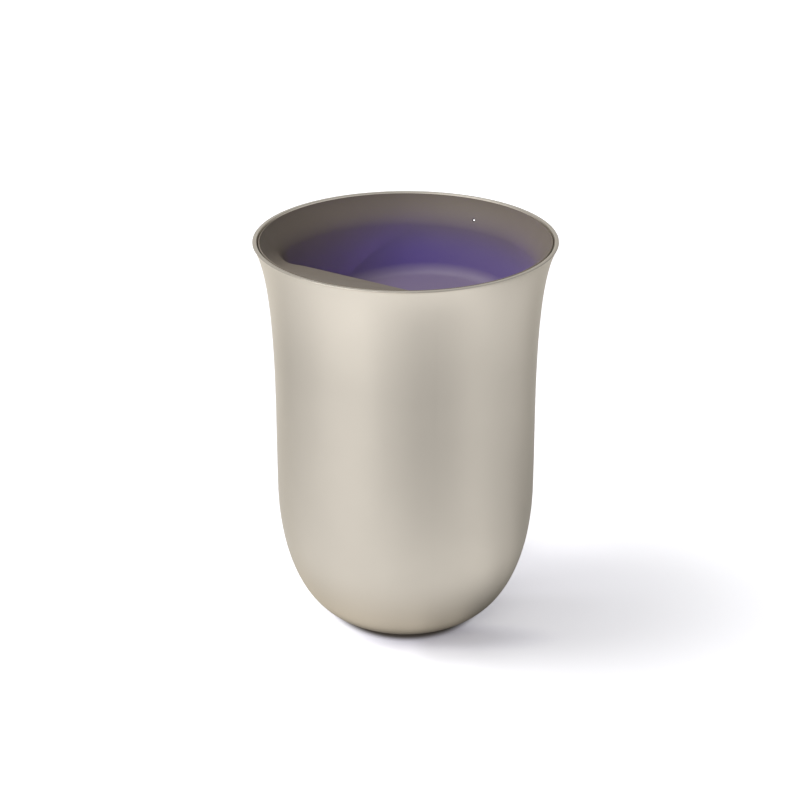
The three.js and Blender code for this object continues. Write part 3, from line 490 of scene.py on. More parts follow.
def placed(name: str, data: bpy.types.ID) -> Piece:
    """Makes an object and links it to the scene.

    Args:
        name: the object's name.
        data: its mesh, lamp or camera.

    Returns:
        The new object.
    """
    made = bpy.data.objects.new(name, data)
    bpy.context.scene.collection.objects.link(made)
    return made


def closed_mesh(name: str, points: np.ndarray, faces: Sequence[Sequence[int]]) -> Piece:
    """Makes an object from points in millimetres.

    Args:
        name: the object's name.
        points: rows of x, y and z.
        faces: rows of point numbers.

    Returns:
        The new object, linked to the scene.
    """
    mesh = bpy.data.meshes.new(name)
    mesh.from_pydata((np.asarray(points, float) * MM).tolist(), [], faces)
    mesh.validate()
    return placed(name, mesh)


def settle(made: Piece) -> Piece:
    """Turns an object with modifiers into a plain mesh.

    Args:
        made: the object.

    Returns:
        The same object, with no modifier left.
    """
    depsgraph = bpy.context.evaluated_depsgraph_get()
    result = bpy.data.meshes.new_from_object(made.evaluated_get(depsgraph))
    made.modifiers.clear()
    made.data = result
    return made


def face_outwards(made: Piece, crease: float = 32.0) -> Piece:
    """Merges doubles, turns the faces outwards and shades all but the sharp edges smoothly.

    Args:
        made: the object.
        crease: the angle in degrees from which an edge stays sharp.

    Returns:
        The same object.
    """
    work = bmesh.new()
    work.from_mesh(made.data)
    bmesh.ops.remove_doubles(work, verts=work.verts, dist=DOUBLES * MM)
    bmesh.ops.recalc_face_normals(work, faces=work.faces)
    work.to_mesh(made.data)
    work.free()
    made.data.polygons.foreach_set("use_smooth", [True] * len(made.data.polygons))
    made.data.set_sharp_from_angle(angle=math.radians(crease))
    return made


def joined(name: str, parts: Sequence[Piece]) -> Piece:
    """Puts several meshes into one object.

    Args:
        name: the new object's name.
        parts: the objects, which are removed.

    Returns:
        The new object, with its faces turned outwards.
    """
    work = bmesh.new()
    mesh = bpy.data.meshes.new(name)
    for part in parts:
        work.from_mesh(part.data)
        bpy.data.objects.remove(part)
    work.to_mesh(mesh)
    work.free()
    return face_outwards(placed(name, mesh))


def carve(made: Piece, others: Sequence[Piece], crease: float = 32.0, how: Blend = Blend.CUT) -> Piece:
    """Cuts shapes out of a piece, or adds them to it.

    Args:
        made: the piece.
        others: the other shapes, which are removed from the scene.
        crease: the angle in degrees from which an edge stays sharp.
        how: whether the shapes are cut out or added.

    Returns:
        The same piece as a plain mesh.
    """
    for other in others:
        modifier = made.modifiers.new(how.name, "BOOLEAN")
        modifier.object, modifier.operation, modifier.solver = other, how.value, "EXACT"
    settle(made)
    for other in others:
        bpy.data.objects.remove(other)
    return face_outwards(made, crease)


def turn_into(made: Piece, matrix: Matrix) -> Piece:
    """Moves a mesh's points by a matrix in millimetres.

    Args:
        made: the object.
        matrix: the move, with its translation in millimetres.

    Returns:
        The same object.
    """
    move = matrix.copy()
    move.translation = matrix.translation * MM
    made.data.transform(move)
    return made


class NodeForm:
    """A Geometry Nodes tree with named inputs, which ends in real geometry with its finish."""

    def __init__(self, name: str, inputs: dict[str, str]) -> None:
        """Starts the tree with its named inputs.

        Args:
            name: the tree's name.
            inputs: each own input's name and kind.
        """
        self.tree = bpy.data.node_groups.new(name, "GeometryNodeTree")
        new_socket = self.tree.interface.new_socket
        self.inputs = {
            key: new_socket(key, in_out="INPUT", socket_type=f"NodeSocket{kind}").identifier
            for key, kind in {"Geometry": "Geometry", **inputs, "Finish": "Material"}.items()
        }
        new_socket("Geometry", in_out="OUTPUT", socket_type="NodeSocketGeometry")
        self.graph = Graph(self.tree)
        self.entry = self.graph.add("NodeGroupInput")

    def end(self, shape: Socket) -> None:
        """Ends the tree.

        Args:
            shape: the geometry that it makes.
        """
        real = self.graph.add("GeometryNodeRealizeInstances", {"Geometry": shape})
        inputs = {"Geometry": real[0], "Material": self.entry["Finish"]}
        dressed = self.graph.add("GeometryNodeSetMaterial", inputs)[0]
        self.graph.add("NodeGroupOutput", {"Geometry": dressed})

    def form(self, made: Piece, slot: Slot, values: dict[str, object]) -> Piece:
        """Runs the tree on an object.

        Args:
            made: the object.
            slot: its finish.
            values: the own inputs' values.

        Returns:
            The object as a plain mesh.
        """
        modifier = made.modifiers.new(self.tree.name, "NODES")
        modifier.node_group = self.tree
        for key, value in {**values, "Finish": FINISHES.of(slot)}.items():
            modifier[self.inputs[key]] = value
        return settle(made)


class TurnedForm(NodeForm):
    """Turns a profile about Z."""

    MERGE = 0.002

    def __init__(self) -> None:
        """Builds the tree: a sheet with a row for each corner is rolled round the axis and closed."""
        super().__init__("turned form", {"Sides": "Int"})
        graph, profile = self.graph, self.entry["Geometry"]
        count = graph.add("GeometryNodeAttributeDomainSize", {"Geometry": profile})["Point Count"]
        columns = graph.math("ADD", self.entry["Sides"], 1.0)
        size = {"Size X": 1.0, "Size Y": 1.0, "Vertices X": columns, "Vertices Y": count}
        sheet = graph.add("GeometryNodeMeshGrid", size)["Mesh"]
        where = graph.parts(graph.add("GeometryNodeInputPosition")[0])
        turn = graph.math("MULTIPLY", graph.math("ADD", where["X"], 0.5), 2.0 * math.pi)
        last = graph.math("SUBTRACT", count, 1.0)
        row = graph.math("MULTIPLY", graph.math("ADD", where["Y"], 0.5), last)
        index = graph.add("FunctionNodeFloatToInt", {0: row}, rounding_mode="ROUND")[0]
        position = graph.add("GeometryNodeInputPosition")[0]
        sample = graph.tree.nodes.new("GeometryNodeSampleIndex")
        sample.data_type, sample.domain = "FLOAT_VECTOR", "POINT"
        graph.feed(sample, {"Geometry": profile, "Index": index})
        graph.tree.links.new(position, next(s for s in sample.inputs if s.name == "Value" and s.enabled))
        corner = graph.parts(next(s for s in sample.outputs if s.enabled))
        x, y = (graph.math("MULTIPLY", corner["X"], graph.math(wave, turn)) for wave in ("COSINE", "SINE"))
        spot = graph.add("ShaderNodeCombineXYZ", {"X": x, "Y": y, "Z": corner["Z"]})[0]
        rolled = graph.add("GeometryNodeSetPosition", {"Geometry": sheet, "Position": spot})[0]
        inputs = {"Geometry": rolled, "Distance": self.MERGE * MM}
        self.end(graph.add("GeometryNodeMergeByDistance", inputs)[0])

    def make(self, name: str, profile: Sequence[Place], sides: int, slot: Slot) -> Piece:
        """Turns a closed profile, or one that ends on the axis, into a plain mesh with so many sides."""
        made = closed_mesh(name, [(r, 0.0, z) for r, z in profile], [])
        return face_outwards(self.form(made, slot, {"Sides": sides}))


class CopiedForm(NodeForm):
    """Puts a copy of one template at each point of a mesh."""

    def __init__(self) -> None:
        """Builds the tree: points, each with the template's shape at the same turn."""
        super().__init__("copied form", {"Template": "Object", "Turn": "Rotation"})
        shape = self.graph.add("GeometryNodeObjectInfo", {"Object": self.entry["Template"]})["Geometry"]
        points = self.graph.add("GeometryNodeMeshToPoints", {"Mesh": self.entry["Geometry"]})[0]
        inputs = {"Points": points, "Instance": shape, "Rotation": self.entry["Turn"]}
        self.end(self.graph.add("GeometryNodeInstanceOnPoints", inputs)[0])

    def make(
        self, name: str, places: Sequence[Sizes], template: Piece, slot: Slot, turn: Sizes = (0.0, 0.0, 0.0)
    ) -> Piece:
        """Copies the template to each place.

        Args:
            name: the new object's name.
            places: rows of x, y and z in millimetres.
            template: the shape, which is removed afterwards.
            slot: the finish.
            turn: the copies' turn about X, Y and Z, in radians.

        Returns:
            All copies as one plain mesh.
        """
        made = self.form(closed_mesh(name, places, []), slot, {"Template": template, "Turn": turn})
        bpy.data.objects.remove(template)
        return face_outwards(made)


class Winding(NodeForm):
    """Makes a flat spiral of round wire."""

    SIZES = ("Turns", "Inner", "Outer", "Wire")
    PER_TURN, ROUND = 40, 10
    CREASE = 60.0

    def __init__(self) -> None:
        """Builds the tree: a spiral with a round section along it."""
        super().__init__("flat winding", dict.fromkeys(self.SIZES, "Float"))
        turns, inner, outer, wire = (self.entry[size] for size in self.SIZES)
        sizes = {"Rotations": turns, "Start Radius": inner, "End Radius": outer, "Height": 0.0}
        spiral = self.graph.add("GeometryNodeCurveSpiral", {"Resolution": self.PER_TURN, **sizes})[0]
        inputs = {"Resolution": self.ROUND, "Radius": wire}
        section = self.graph.add("GeometryNodeCurvePrimitiveCircle", inputs)[0]
        inputs = {"Curve": spiral, "Profile Curve": section, "Fill Caps": True}
        self.end(self.graph.add("GeometryNodeCurveToMesh", inputs)[0])

    def make(self, name: str, turns: float, inner: float, outer: float, wire: float) -> Piece:
        """Winds one coil about Z.

        Args:
            name: the object's name.
            turns: how often it goes round.
            inner: the radius at the middle of the first turn.
            outer: the radius at the middle of the last turn.
            wire: the wire's radius.

        Returns:
            The coil as a plain mesh.
        """
        values = dict(zip(self.SIZES, (turns, *metres(inner, outer, wire))))
        made = self.form(closed_mesh(name, [(0.0, 0.0, 0.0)], []), Slot.COPPER, values)
        return face_outwards(made, self.CREASE)


def finished(made: Piece, slot: Slot, names: Sequence[str], body: Body = Body.CASE) -> None:
    """Dresses a piece, says what it stands for and lets it ride on its body.

    Args:
        made: the piece, with its place in its mesh.
        slot: its finish.
        names: the CAD nodes that it stands for.
        body: the body that carries it.
    """
    made.data.materials.clear()
    made.data.materials.append(FINISHES.of(slot))
    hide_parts(*names)
    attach(made, body.value)
    LOG.info("%s: %d faces, stands for %s", made.name, len(made.data.polygons), ", ".join(names))


def arc(centre: Place, radius: float, start: float, end: float, steps: int = 3) -> list[Place]:
    """Returns points on an arc from one angle to another in degrees, with so many stretches."""
    angles = np.radians(np.linspace(start, end, steps + 1))
    return [(centre[0] + radius * math.cos(a), centre[1] + radius * math.sin(a)) for a in angles]


def at_height(outline: Sequence[Place], height: float) -> np.ndarray:
    """Returns an outline's places along X and Y as rows of x, y and one height."""
    return np.column_stack([outline, np.full(len(outline), height)])


def lofted(name: str, layers: Sequence[np.ndarray]) -> Piece:
    """Joins rings of equal length into a piece with a cap on each end.

    Args:
        name: the object's name.
        layers: the rings.

    Returns:
        The piece.
    """
    count, last = len(layers[0]), (len(layers) - 1) * len(layers[0])
    faces = [[*range(count)][::-1], [*range(last, last + count)]]
    for low in range(0, last, count):
        for i in range(count):
            j = (i + 1) % count
            faces.append([low + i, low + j, low + count + j, low + count + i])
    return face_outwards(closed_mesh(name, np.vstack(layers), faces))


@dataclass(frozen=True)
class Slab:
    """A plate with round corners and, if asked for, a rounded upper edge."""

    width: float
    depth: float
    low: float
    high: float
    corner: float
    edge: float = 0.0
    corner_steps: int = 10
    edge_angles: Sizes = (0, 22, 45, 68, 90)
    least_corner: float = 0.05

    def outline(self, inset: float) -> list[Place]:
        """Draws the plate's outline, counterclockwise.

        Args:
            inset: how far inside the plate's side it lies.

        Returns:
            Its points.
        """
        corner = max(self.corner - inset, self.least_corner)
        x, y = self.width / 2 - inset - corner, self.depth / 2 - inset - corner
        points: list[Place] = []
        for quarter, centre in enumerate(((x, y), (-x, y), (-x, -y), (x, -y))):
            points += arc(centre, corner, 90 * quarter, 90 * quarter + 90, self.corner_steps)
        return points

    def make(self, name: str = "cut") -> Piece:
        """Makes the plate.

        Args:
            name: the object's name.

        Returns:
            The object.
        """
        edge, rings = self.edge, [(0.0, self.low)]
        for a in np.radians(self.edge_angles if edge else (90,)):
            rings.append((edge - edge * math.cos(a), self.high - edge + edge * math.sin(a)))
        return lofted(name, [at_height(self.outline(inset), height) for inset, height in rings])


def bar(radius: float, low: float, high: float, sides: int) -> Piece:
    """Makes an upright round bar from a low to a high end, with so many sides, to cut with."""
    circle = arc((0, 0), radius, 0, 360, sides)[:-1]
    return lofted("cut", [at_height(circle, height) for height in (low, high)])


def along_y(height: float) -> Matrix:
    """Returns the move that lays a piece drawn along Z along +Y, at a height."""
    return Matrix.Translation((0, 0, height)) @ Matrix.Rotation(-math.pi / 2, 4, "X")


def eased(share: np.ndarray) -> np.ndarray:
    """Returns a share, kept from 0 to 1, with soft ends."""
    share = np.clip(share, 0, 1)
    return share * share * (3 - 2 * share)


@dataclass(frozen=True)
class ShellProfile:
    """The shell's outline: a bowl, a nearly straight body and a flare, as three smooth curves."""

    height: float = 180.0
    rim_radius: float = 65.0
    waist: Place = (57.6, 112.0)
    belly: Place = (58.0, 62.5)
    foot: Place = (31.0, 2.6)
    wall: float = 1.6
    rim_slope: float = 0.46
    foot_reach: float = 0.6
    foot_rise: float = 0.06
    bowl_pull: float = 0.545
    waist_pull: float = 0.3
    flare_start: float = 0.65
    flare_end: float = 0.13
    steps: tuple[int, int, int] = (44, 14, 32)

    def outline(self, inset: float) -> np.ndarray:
        """Draws the outline, moved inwards square to the surface.

        Args:
            inset: how far inwards, in millimetres.

        Returns:
            Rows of radius and height.
        """
        foot, belly, waist = map(np.array, (self.foot, self.belly, self.waist))
        rim = np.array([self.rim_radius, self.height])
        (reach, bowl), body, flare = belly - foot, (waist - belly)[1], (rim - waist)[1]
        end, up = self.flare_end * flare, np.array([0, 1])
        leave = foot + [self.foot_reach * reach, self.foot_rise * reach]
        curves = [
            (foot, leave, belly - up * self.bowl_pull * bowl, belly),
            (belly, belly + up * self.waist_pull * body, waist - up * self.waist_pull * body, waist),
            (waist, waist + up * self.flare_start * flare, rim - [self.rim_slope * end, end], rim),
        ]
        rows = []
        for part, ((a, b, c, d), count) in enumerate(zip(curves, self.steps)):
            for t in np.linspace(0, 1, count + 1)[1 if part else 0:]:
                point = (1 - t) ** 3 * a + 3 * t * (1 - t) ** 2 * b + 3 * t * t * (1 - t) * c + t**3 * d
                run = 3 * ((1 - t) ** 2 * (b - a) + 2 * t * (1 - t) * (c - b) + t * t * (d - c))
                run = run / np.linalg.norm(run)
                rows.append(point + inset * np.array([-run[1], run[0]]))
        return np.array(rows)

    def radius(self, height: np.ndarray | float, inset: float = 0.0) -> np.ndarray | float:
        """Returns the radius at one or more heights, of the surface that lies inwards by an inset."""
        rows = self.outline(inset)
        return np.interp(height, rows[:, 1], rows[:, 0])


@dataclass
class MetalShell:
    """The outer shell with its flat lip, foot hole and the two openings at the rear."""

    turned: TurnedForm
    profile: ShellProfile = field(default_factory=ShellProfile)
    sides: int = 192
    hub_hole: float = 24.0
    outer_bevel: float = 0.35
    inner_bevel: float = 0.2
    bevel_room: float = 1.3
    guide_hole: float = 6.3
    guide_height: float = 64.0
    inlet_size: Place = (9.8, 4.1)
    inlet_height: float = 44.0
    cut_reach: Place = (30.0, 80.0)
    cut_sides: int = 96

    def build(self) -> None:
        """Builds the shell."""
        profile, top = self.profile, self.profile.height
        outer, inner = profile.outline(0.0), profile.outline(profile.wall)
        inner_top = float(inner[-1, 0]) + (top - float(inner[-1, 1])) * profile.rim_slope
        bevel, soft, room = self.outer_bevel, self.inner_bevel, self.bevel_room
        outer = outer[outer[:, 1] < top - room * bevel]
        inner = inner[inner[:, 1] < top - room * soft]
        lip = arc((profile.rim_radius - bevel, top - bevel), bevel, 0, 90, steps=4)
        lip += arc((inner_top + soft, top - soft), soft, 90, 180)
        hub = (self.hub_hole, profile.foot[1])
        rows = [hub, *outer, *lip, *inner[::-1], (self.hub_hole, inner[0, 1]), hub]
        made = self.turned.make("metal_shell", rows, self.sides, Slot.SHELL)
        button = turn_into(bar(self.guide_hole, *self.cut_reach, self.cut_sides), along_y(self.guide_height))
        mouth = Slab(*self.inlet_size, *self.cut_reach, self.inlet_size[1] / 2 - HAIR).make()
        carve(made, [button, turn_into(mouth, along_y(self.inlet_height))])
        finished(made, Slot.SHELL, ["outer_shell"])


@dataclass
class PocketShape:
    """The free space inside the liner, as a distance to its nearest wall that is negative inside."""

    profile: ShellProfile = field(default_factory=ShellProfile)
    wall: float = 1.8
    rim_wall: float = 0.7
    top: float = 179.7
    rim_gap: float = 0.4
    body_gap: float = 2.4
    taper: float = 13.0
    crest: Place = (-20.0, 165.5)
    crest_radius: float = 1.0
    crest_end_radius: float = 10.0
    crest_ends: Place = (36.0, 57.0)
    shelf_slope: float = 0.28
    floor_front: Place = (-33.5, 38.0)
    floor_back: Place = (-15.0, 38.0)
    floor_radius: float = 2.5
    rest_top: Place = (15.5, 140.0)
    rest_radius: float = 4.0
    ledge_slope: float = 0.16
    side_radius: float = 4.5
    blend_radius: float = 6.5
    blend_heights: Sizes = (140.0, 158.0, 166.0, 177.0)
    blend_reach: float = 24.0

    # How a level ring is sampled: how long its rays are and how often they are halved, the zone on each side
    # of the two places where a flat wall meets the round one, and the stations in and between these zones.
    RAY = 140.0
    HALVINGS = 42
    ZONE = math.radians(8)
    ZONE_ROOM = 1.3
    STATIONS = (12, 18, 36, 18, 12)
    LEAST_HALF = 2.0
    # The same up the walls: the angles of the floor's fillet, how many levels lie in the plain stretches, and
    # where the close levels start under the ledge and the shelf and how far they go on.
    FLOOR_ANGLES = np.radians(np.linspace(6, 90, 9))
    WALL_LEVELS, BACK_LEVELS = 22, 16
    LEDGE_START, LEDGE_BAND = 1.5, 12.0
    SHELF_START, SHELF_BAND = 1.2, 3.0
    LEVEL_MARGIN = 1.05
    RIM_STEP = 0.3

    def taper_share(self, height: np.ndarray) -> np.ndarray:
        """Returns 0 at the rim and 1 below its tapered stretch."""
        return eased((self.top - height) / self.taper)

    def thickness(self, height: np.ndarray) -> np.ndarray:
        """Returns the wall's thickness, which is least at the rim."""
        return self.rim_wall + (self.wall - self.rim_wall) * self.taper_share(height)

    def round_radius(self, height: np.ndarray) -> np.ndarray:
        """Returns the radius of the round wall's inner face."""
        gap = self.rim_gap + (self.body_gap - self.rim_gap) * self.taper_share(height)
        return self.profile.radius(height, self.profile.wall) - gap - self.thickness(height)

    @staticmethod
    def plane(y: np.ndarray, z: np.ndarray, through: Place, run: Place) -> np.ndarray:
        """Returns the distance from a plane that runs through a point, with the free space on its left."""
        return ((y - through[0]) * run[1] - (z - through[1]) * run[0]) / math.hypot(*run)

    @staticmethod
    def both(a: np.ndarray, b: np.ndarray, radius: float | np.ndarray) -> np.ndarray:
        """Returns the space inside both of two walls, with a fillet of that radius where they meet."""
        corner = np.hypot(np.maximum(a + radius, 0), np.maximum(b + radius, 0))
        return np.minimum(np.maximum(a, b), -radius) + corner

    def either(self, a: np.ndarray, b: np.ndarray, radius: float | np.ndarray) -> np.ndarray:
        """Returns the space inside one or the other, where they meet in a nose of that radius."""
        return -self.both(-a, -b, radius)

    def nose(self, x: np.ndarray) -> np.ndarray:
        """Measures the shelf's crest.

        Args:
            x: places along X.

        Returns:
            Its radius, which is larger where the shelf runs into the round wall.
        """
        middle, end = self.crest_ends
        share = eased((np.abs(x) - middle) / (end - middle))
        return self.crest_radius + (self.crest_end_radius - self.crest_radius) * share

    def side_fillet(self, y: np.ndarray, z: np.ndarray) -> np.ndarray:
        """Measures the fillet along the round wall.

        Args:
            y: places along Y.
            z: places along Z.

        Returns:
            Its radius, which is largest at the shelf's two ends.
        """
        low, full, start, top = self.blend_heights
        rise = np.clip((z - low) / (full - low), 0, 1) * np.clip((top - z) / (top - start), 0, 1)
        near = np.clip(1 - np.abs(y - self.crest[0]) / self.blend_reach, 0, 1)
        return self.side_radius + (self.blend_radius - self.side_radius) * eased(rise * near)

    def distance(self, x: np.ndarray, y: np.ndarray, z: np.ndarray) -> np.ndarray:
        """Measures how far the round wall, the shelf, the pocket's walls and the ledge are.

        Args:
            x: places along X.
            y: places along Y.
            z: places along Z.

        Returns:
            The distance to the nearest of them.
        """
        shelf = self.plane(y, z, self.crest, (1.0, -self.shelf_slope))
        front = self.plane(y, z, self.crest, np.subtract(self.floor_front, self.crest))
        rest = self.plane(y, z, self.rest_top, np.subtract(self.rest_top, self.floor_back))
        ledge = self.plane(y, z, self.rest_top, (1.0, self.ledge_slope))
        near, far = self.either(shelf, front, self.nose(x)), self.either(rest, ledge, self.rest_radius)
        walls, floor = self.both(near, far, self.floor_radius), self.floor_front[1] - z
        flat = self.both(walls, floor, self.floor_radius)
        return self.both(np.hypot(x, y) - self.round_radius(z), flat, self.side_fillet(y, z))

    def reach(self, origin: np.ndarray, z: np.ndarray, angles: np.ndarray, margin: np.ndarray) -> np.ndarray:
        """Measures how far it is to the wall along level rays.

        Args:
            origin: each level's place along Y from which its rays start.
            z: each level's height.
            angles: each level's row of angles from +X.
            margin: how far behind the wall's face each level's rays end.

        Returns:
            Each ray's length.
        """
        low, high = np.zeros_like(angles), np.full_like(angles, self.RAY)
        dx, dy = np.cos(angles), np.sin(angles)
        levels = np.repeat(z[:, None], angles.shape[1], axis=1)
        for _ in range(self.HALVINGS):
            middle = (low + high) / 2
            inside = self.distance(middle * dx, origin[:, None] + middle * dy, levels) < margin[:, None]
            low, high = np.where(inside, middle, low), np.where(inside, high, middle)
        return (low + high) / 2

    def flat_walls(self, z: np.ndarray) -> tuple[np.ndarray, np.ndarray]:
        """Follows the flat walls up from the floor over the shelf and the ledge.

        Args:
            z: the levels.

        Returns:
            The front's and the back's places along Y.
        """
        (foot, floor), (edge, crest) = self.floor_front, self.crest
        front = np.where(z > crest, edge - (z - crest) / self.shelf_slope,
                         foot + (z - floor) * (edge - foot) / (crest - floor))
        (foot, floor), (edge, top) = self.floor_back, self.rest_top
        back = np.where(z > top, edge + (z - top) / self.ledge_slope,
                        foot + (z - floor) * (edge - foot) / (top - floor))
        return front, back

    def rings(self, heights: np.ndarray, margin: float) -> list[np.ndarray]:
        """Draws level rings on the wall.

        Args:
            heights: the levels.
            margin: how far behind the wall's inner face the rings lie, where the wall is not thinned.

        Returns:
            A ring for each height, as rows of x, y and z.
        """
        z, half = heights, math.pi / 2
        margin = margin * self.thickness(z) / self.wall
        front, back = self.flat_walls(z)
        (foot, floor), (edge, crest) = self.floor_front, self.crest
        lean = math.hypot(1.0, (foot - edge) / (crest - floor))
        radius = self.round_radius(z) + margin
        front, back = np.maximum(front - margin * lean, -radius), np.minimum(back + margin, radius)
        origin = (front + back) / 2
        near, far = (
            np.arctan2(flat - origin, np.sqrt(np.maximum(radius**2 - flat**2, self.LEAST_HALF**2)))
            for flat in (front, back)
        )
        room, rows = half - self.ZONE * self.ZONE_ROOM, []
        for a, b in zip(np.clip(near, -room, None), np.clip(far, None, room)):
            zone = min(self.ZONE, (b - a) / 3)
            stops = (-half, a - zone, a + zone, b - zone, b + zone, half)
            stretches = zip(stops, stops[1:], self.STATIONS)
            right = [np.linspace(start, end, count, endpoint=False) for start, end, count in stretches]
            right = np.concatenate([*right, [half]])
            rows.append(np.concatenate([right, math.pi - right[-2:0:-1]]))
        angles = np.array(rows)
        reach = self.reach(origin, z, angles, margin)
        x, y = reach * np.cos(angles), origin[:, None] + reach * np.sin(angles)
        return [at_height(np.column_stack(row), height) for *row, height in zip(x, y, z)]

    def levels(self, margin: float, fine: float) -> np.ndarray:
        """Chooses heights that lie close together where the wall is nearly level.

        Args:
            margin: how far behind the wall's inner face.
            fine: the step over the ledge and the shelf.

        Returns:
            The heights.
        """
        floor, turn = self.floor_front[1] - margin, self.floor_radius + margin
        drop, rim = margin * self.LEVEL_MARGIN, self.top - self.RIM_STEP
        ledge = self.rest_top[1] - self.LEDGE_START - drop
        shelf = self.crest[1] - self.SHELF_START - drop
        return np.concatenate([
            floor + turn * (1 - np.cos(self.FLOOR_ANGLES)),
            np.linspace(floor + turn, ledge, self.WALL_LEVELS)[1:],
            np.arange(ledge + fine, ledge + self.LEDGE_BAND, fine),
            np.linspace(ledge + self.LEDGE_BAND, shelf, self.BACK_LEVELS),
            np.arange(shelf + fine / 2, shelf + self.SHELF_BAND, fine / 2),
            np.arange(shelf + self.SHELF_BAND, rim, fine),
            [rim],
        ])


def leaning_frame(low: Place, high: Place, distance: float) -> Matrix:
    """Stands on a leaning wall with Y up the wall and Z into the pocket.

    Args:
        low: the wall's low end, along Y and Z.
        high: its high end.
        distance: how far up from the low end the frame's origin lies.

    Returns:
        The frame as a move in millimetres.
    """
    run = Vector((high[0] - low[0], high[1] - low[1]))
    place = Vector(low) + run.normalized() * distance
    return Matrix.Translation((0, *place)) @ Matrix.Rotation(math.atan2(run.y, run.x), 4, "X")


@dataclass
class MouldedLiner:
    """The liner: a thin wall round the pocket, the sloping shelf and the ledge."""

    shape: PocketShape = field(default_factory=PocketShape)
    edge: float = 0.3
    window: Sizes = (52.6, 9.6, 1.8)
    window_heights: Place = (112.0, 62.0)
    rest: Sizes = (64.6, 84.6, 5.3)
    rest_height: float = 55.0
    lens_radius: float = 0.85
    lens_drop: float = 9.0
    lens_reach: float = 3.5
    cut_reach: float = 6.0
    lens_cut: Place = (-3.0, 5.0)
    lens_sides: int = 32
    level_steps: Place = (0.3, 0.6)
    crease: float = 28.0

    def front_frame(self, distance: float) -> Matrix:
        """Returns a frame on the pocket's front wall, at a distance up the wall."""
        return leaning_frame(self.shape.floor_front, self.shape.crest, distance)

    def rest_frame(self) -> Matrix:
        """Returns the frame of the charging rest, on the pocket's back wall."""
        return leaning_frame(self.shape.floor_back, self.shape.rest_top, self.rest_height)

    def lens_frame(self) -> Matrix:
        """Stands on the round wall at the back.

        Returns:
            The frame of the status light.
        """
        height = self.shape.profile.height - self.lens_drop
        ends = np.array([height - self.lens_reach, height + self.lens_reach])
        radii = self.shape.round_radius(ends) + self.shape.thickness(ends)
        low, high = zip(radii.tolist(), ends.tolist())
        return leaning_frame(low, high, math.dist(low, high) / 2)

    def opening(self, size: Sizes, wall: Matrix) -> Piece:
        """Returns the cutter of an opening of a width, height and corner radius on a wall."""
        width, height, corner = size
        return turn_into(Slab(width, height, -self.cut_reach, self.cut_reach, corner).make(), wall)

    def build(self) -> None:
        """Builds the liner."""
        shape = self.shape
        inner, outer = (
            shape.rings(shape.levels(margin, fine), margin)
            for margin, fine in zip((0.0, shape.wall), self.level_steps)
        )
        lip = []
        for ring, grow in ((inner[-1], self.edge / 2), (outer[-1], -self.edge)):
            length = np.hypot(ring[:, 0], ring[:, 1])[:, None]
            lip.append(at_height(ring[:, :2] * ((length + grow) / length), shape.top))
        made = lofted("moulded_liner", [*inner, *lip, *outer[::-1]])
        cutters = [self.opening(self.window, self.front_frame(up)) for up in self.window_heights]
        cutters.append(self.opening(self.rest, self.rest_frame()))
        cutters.append(turn_into(bar(self.lens_radius, *self.lens_cut, self.lens_sides), self.lens_frame()))
        finished(carve(made, cutters, self.crease), Slot.LINER, ["inner_liner"])


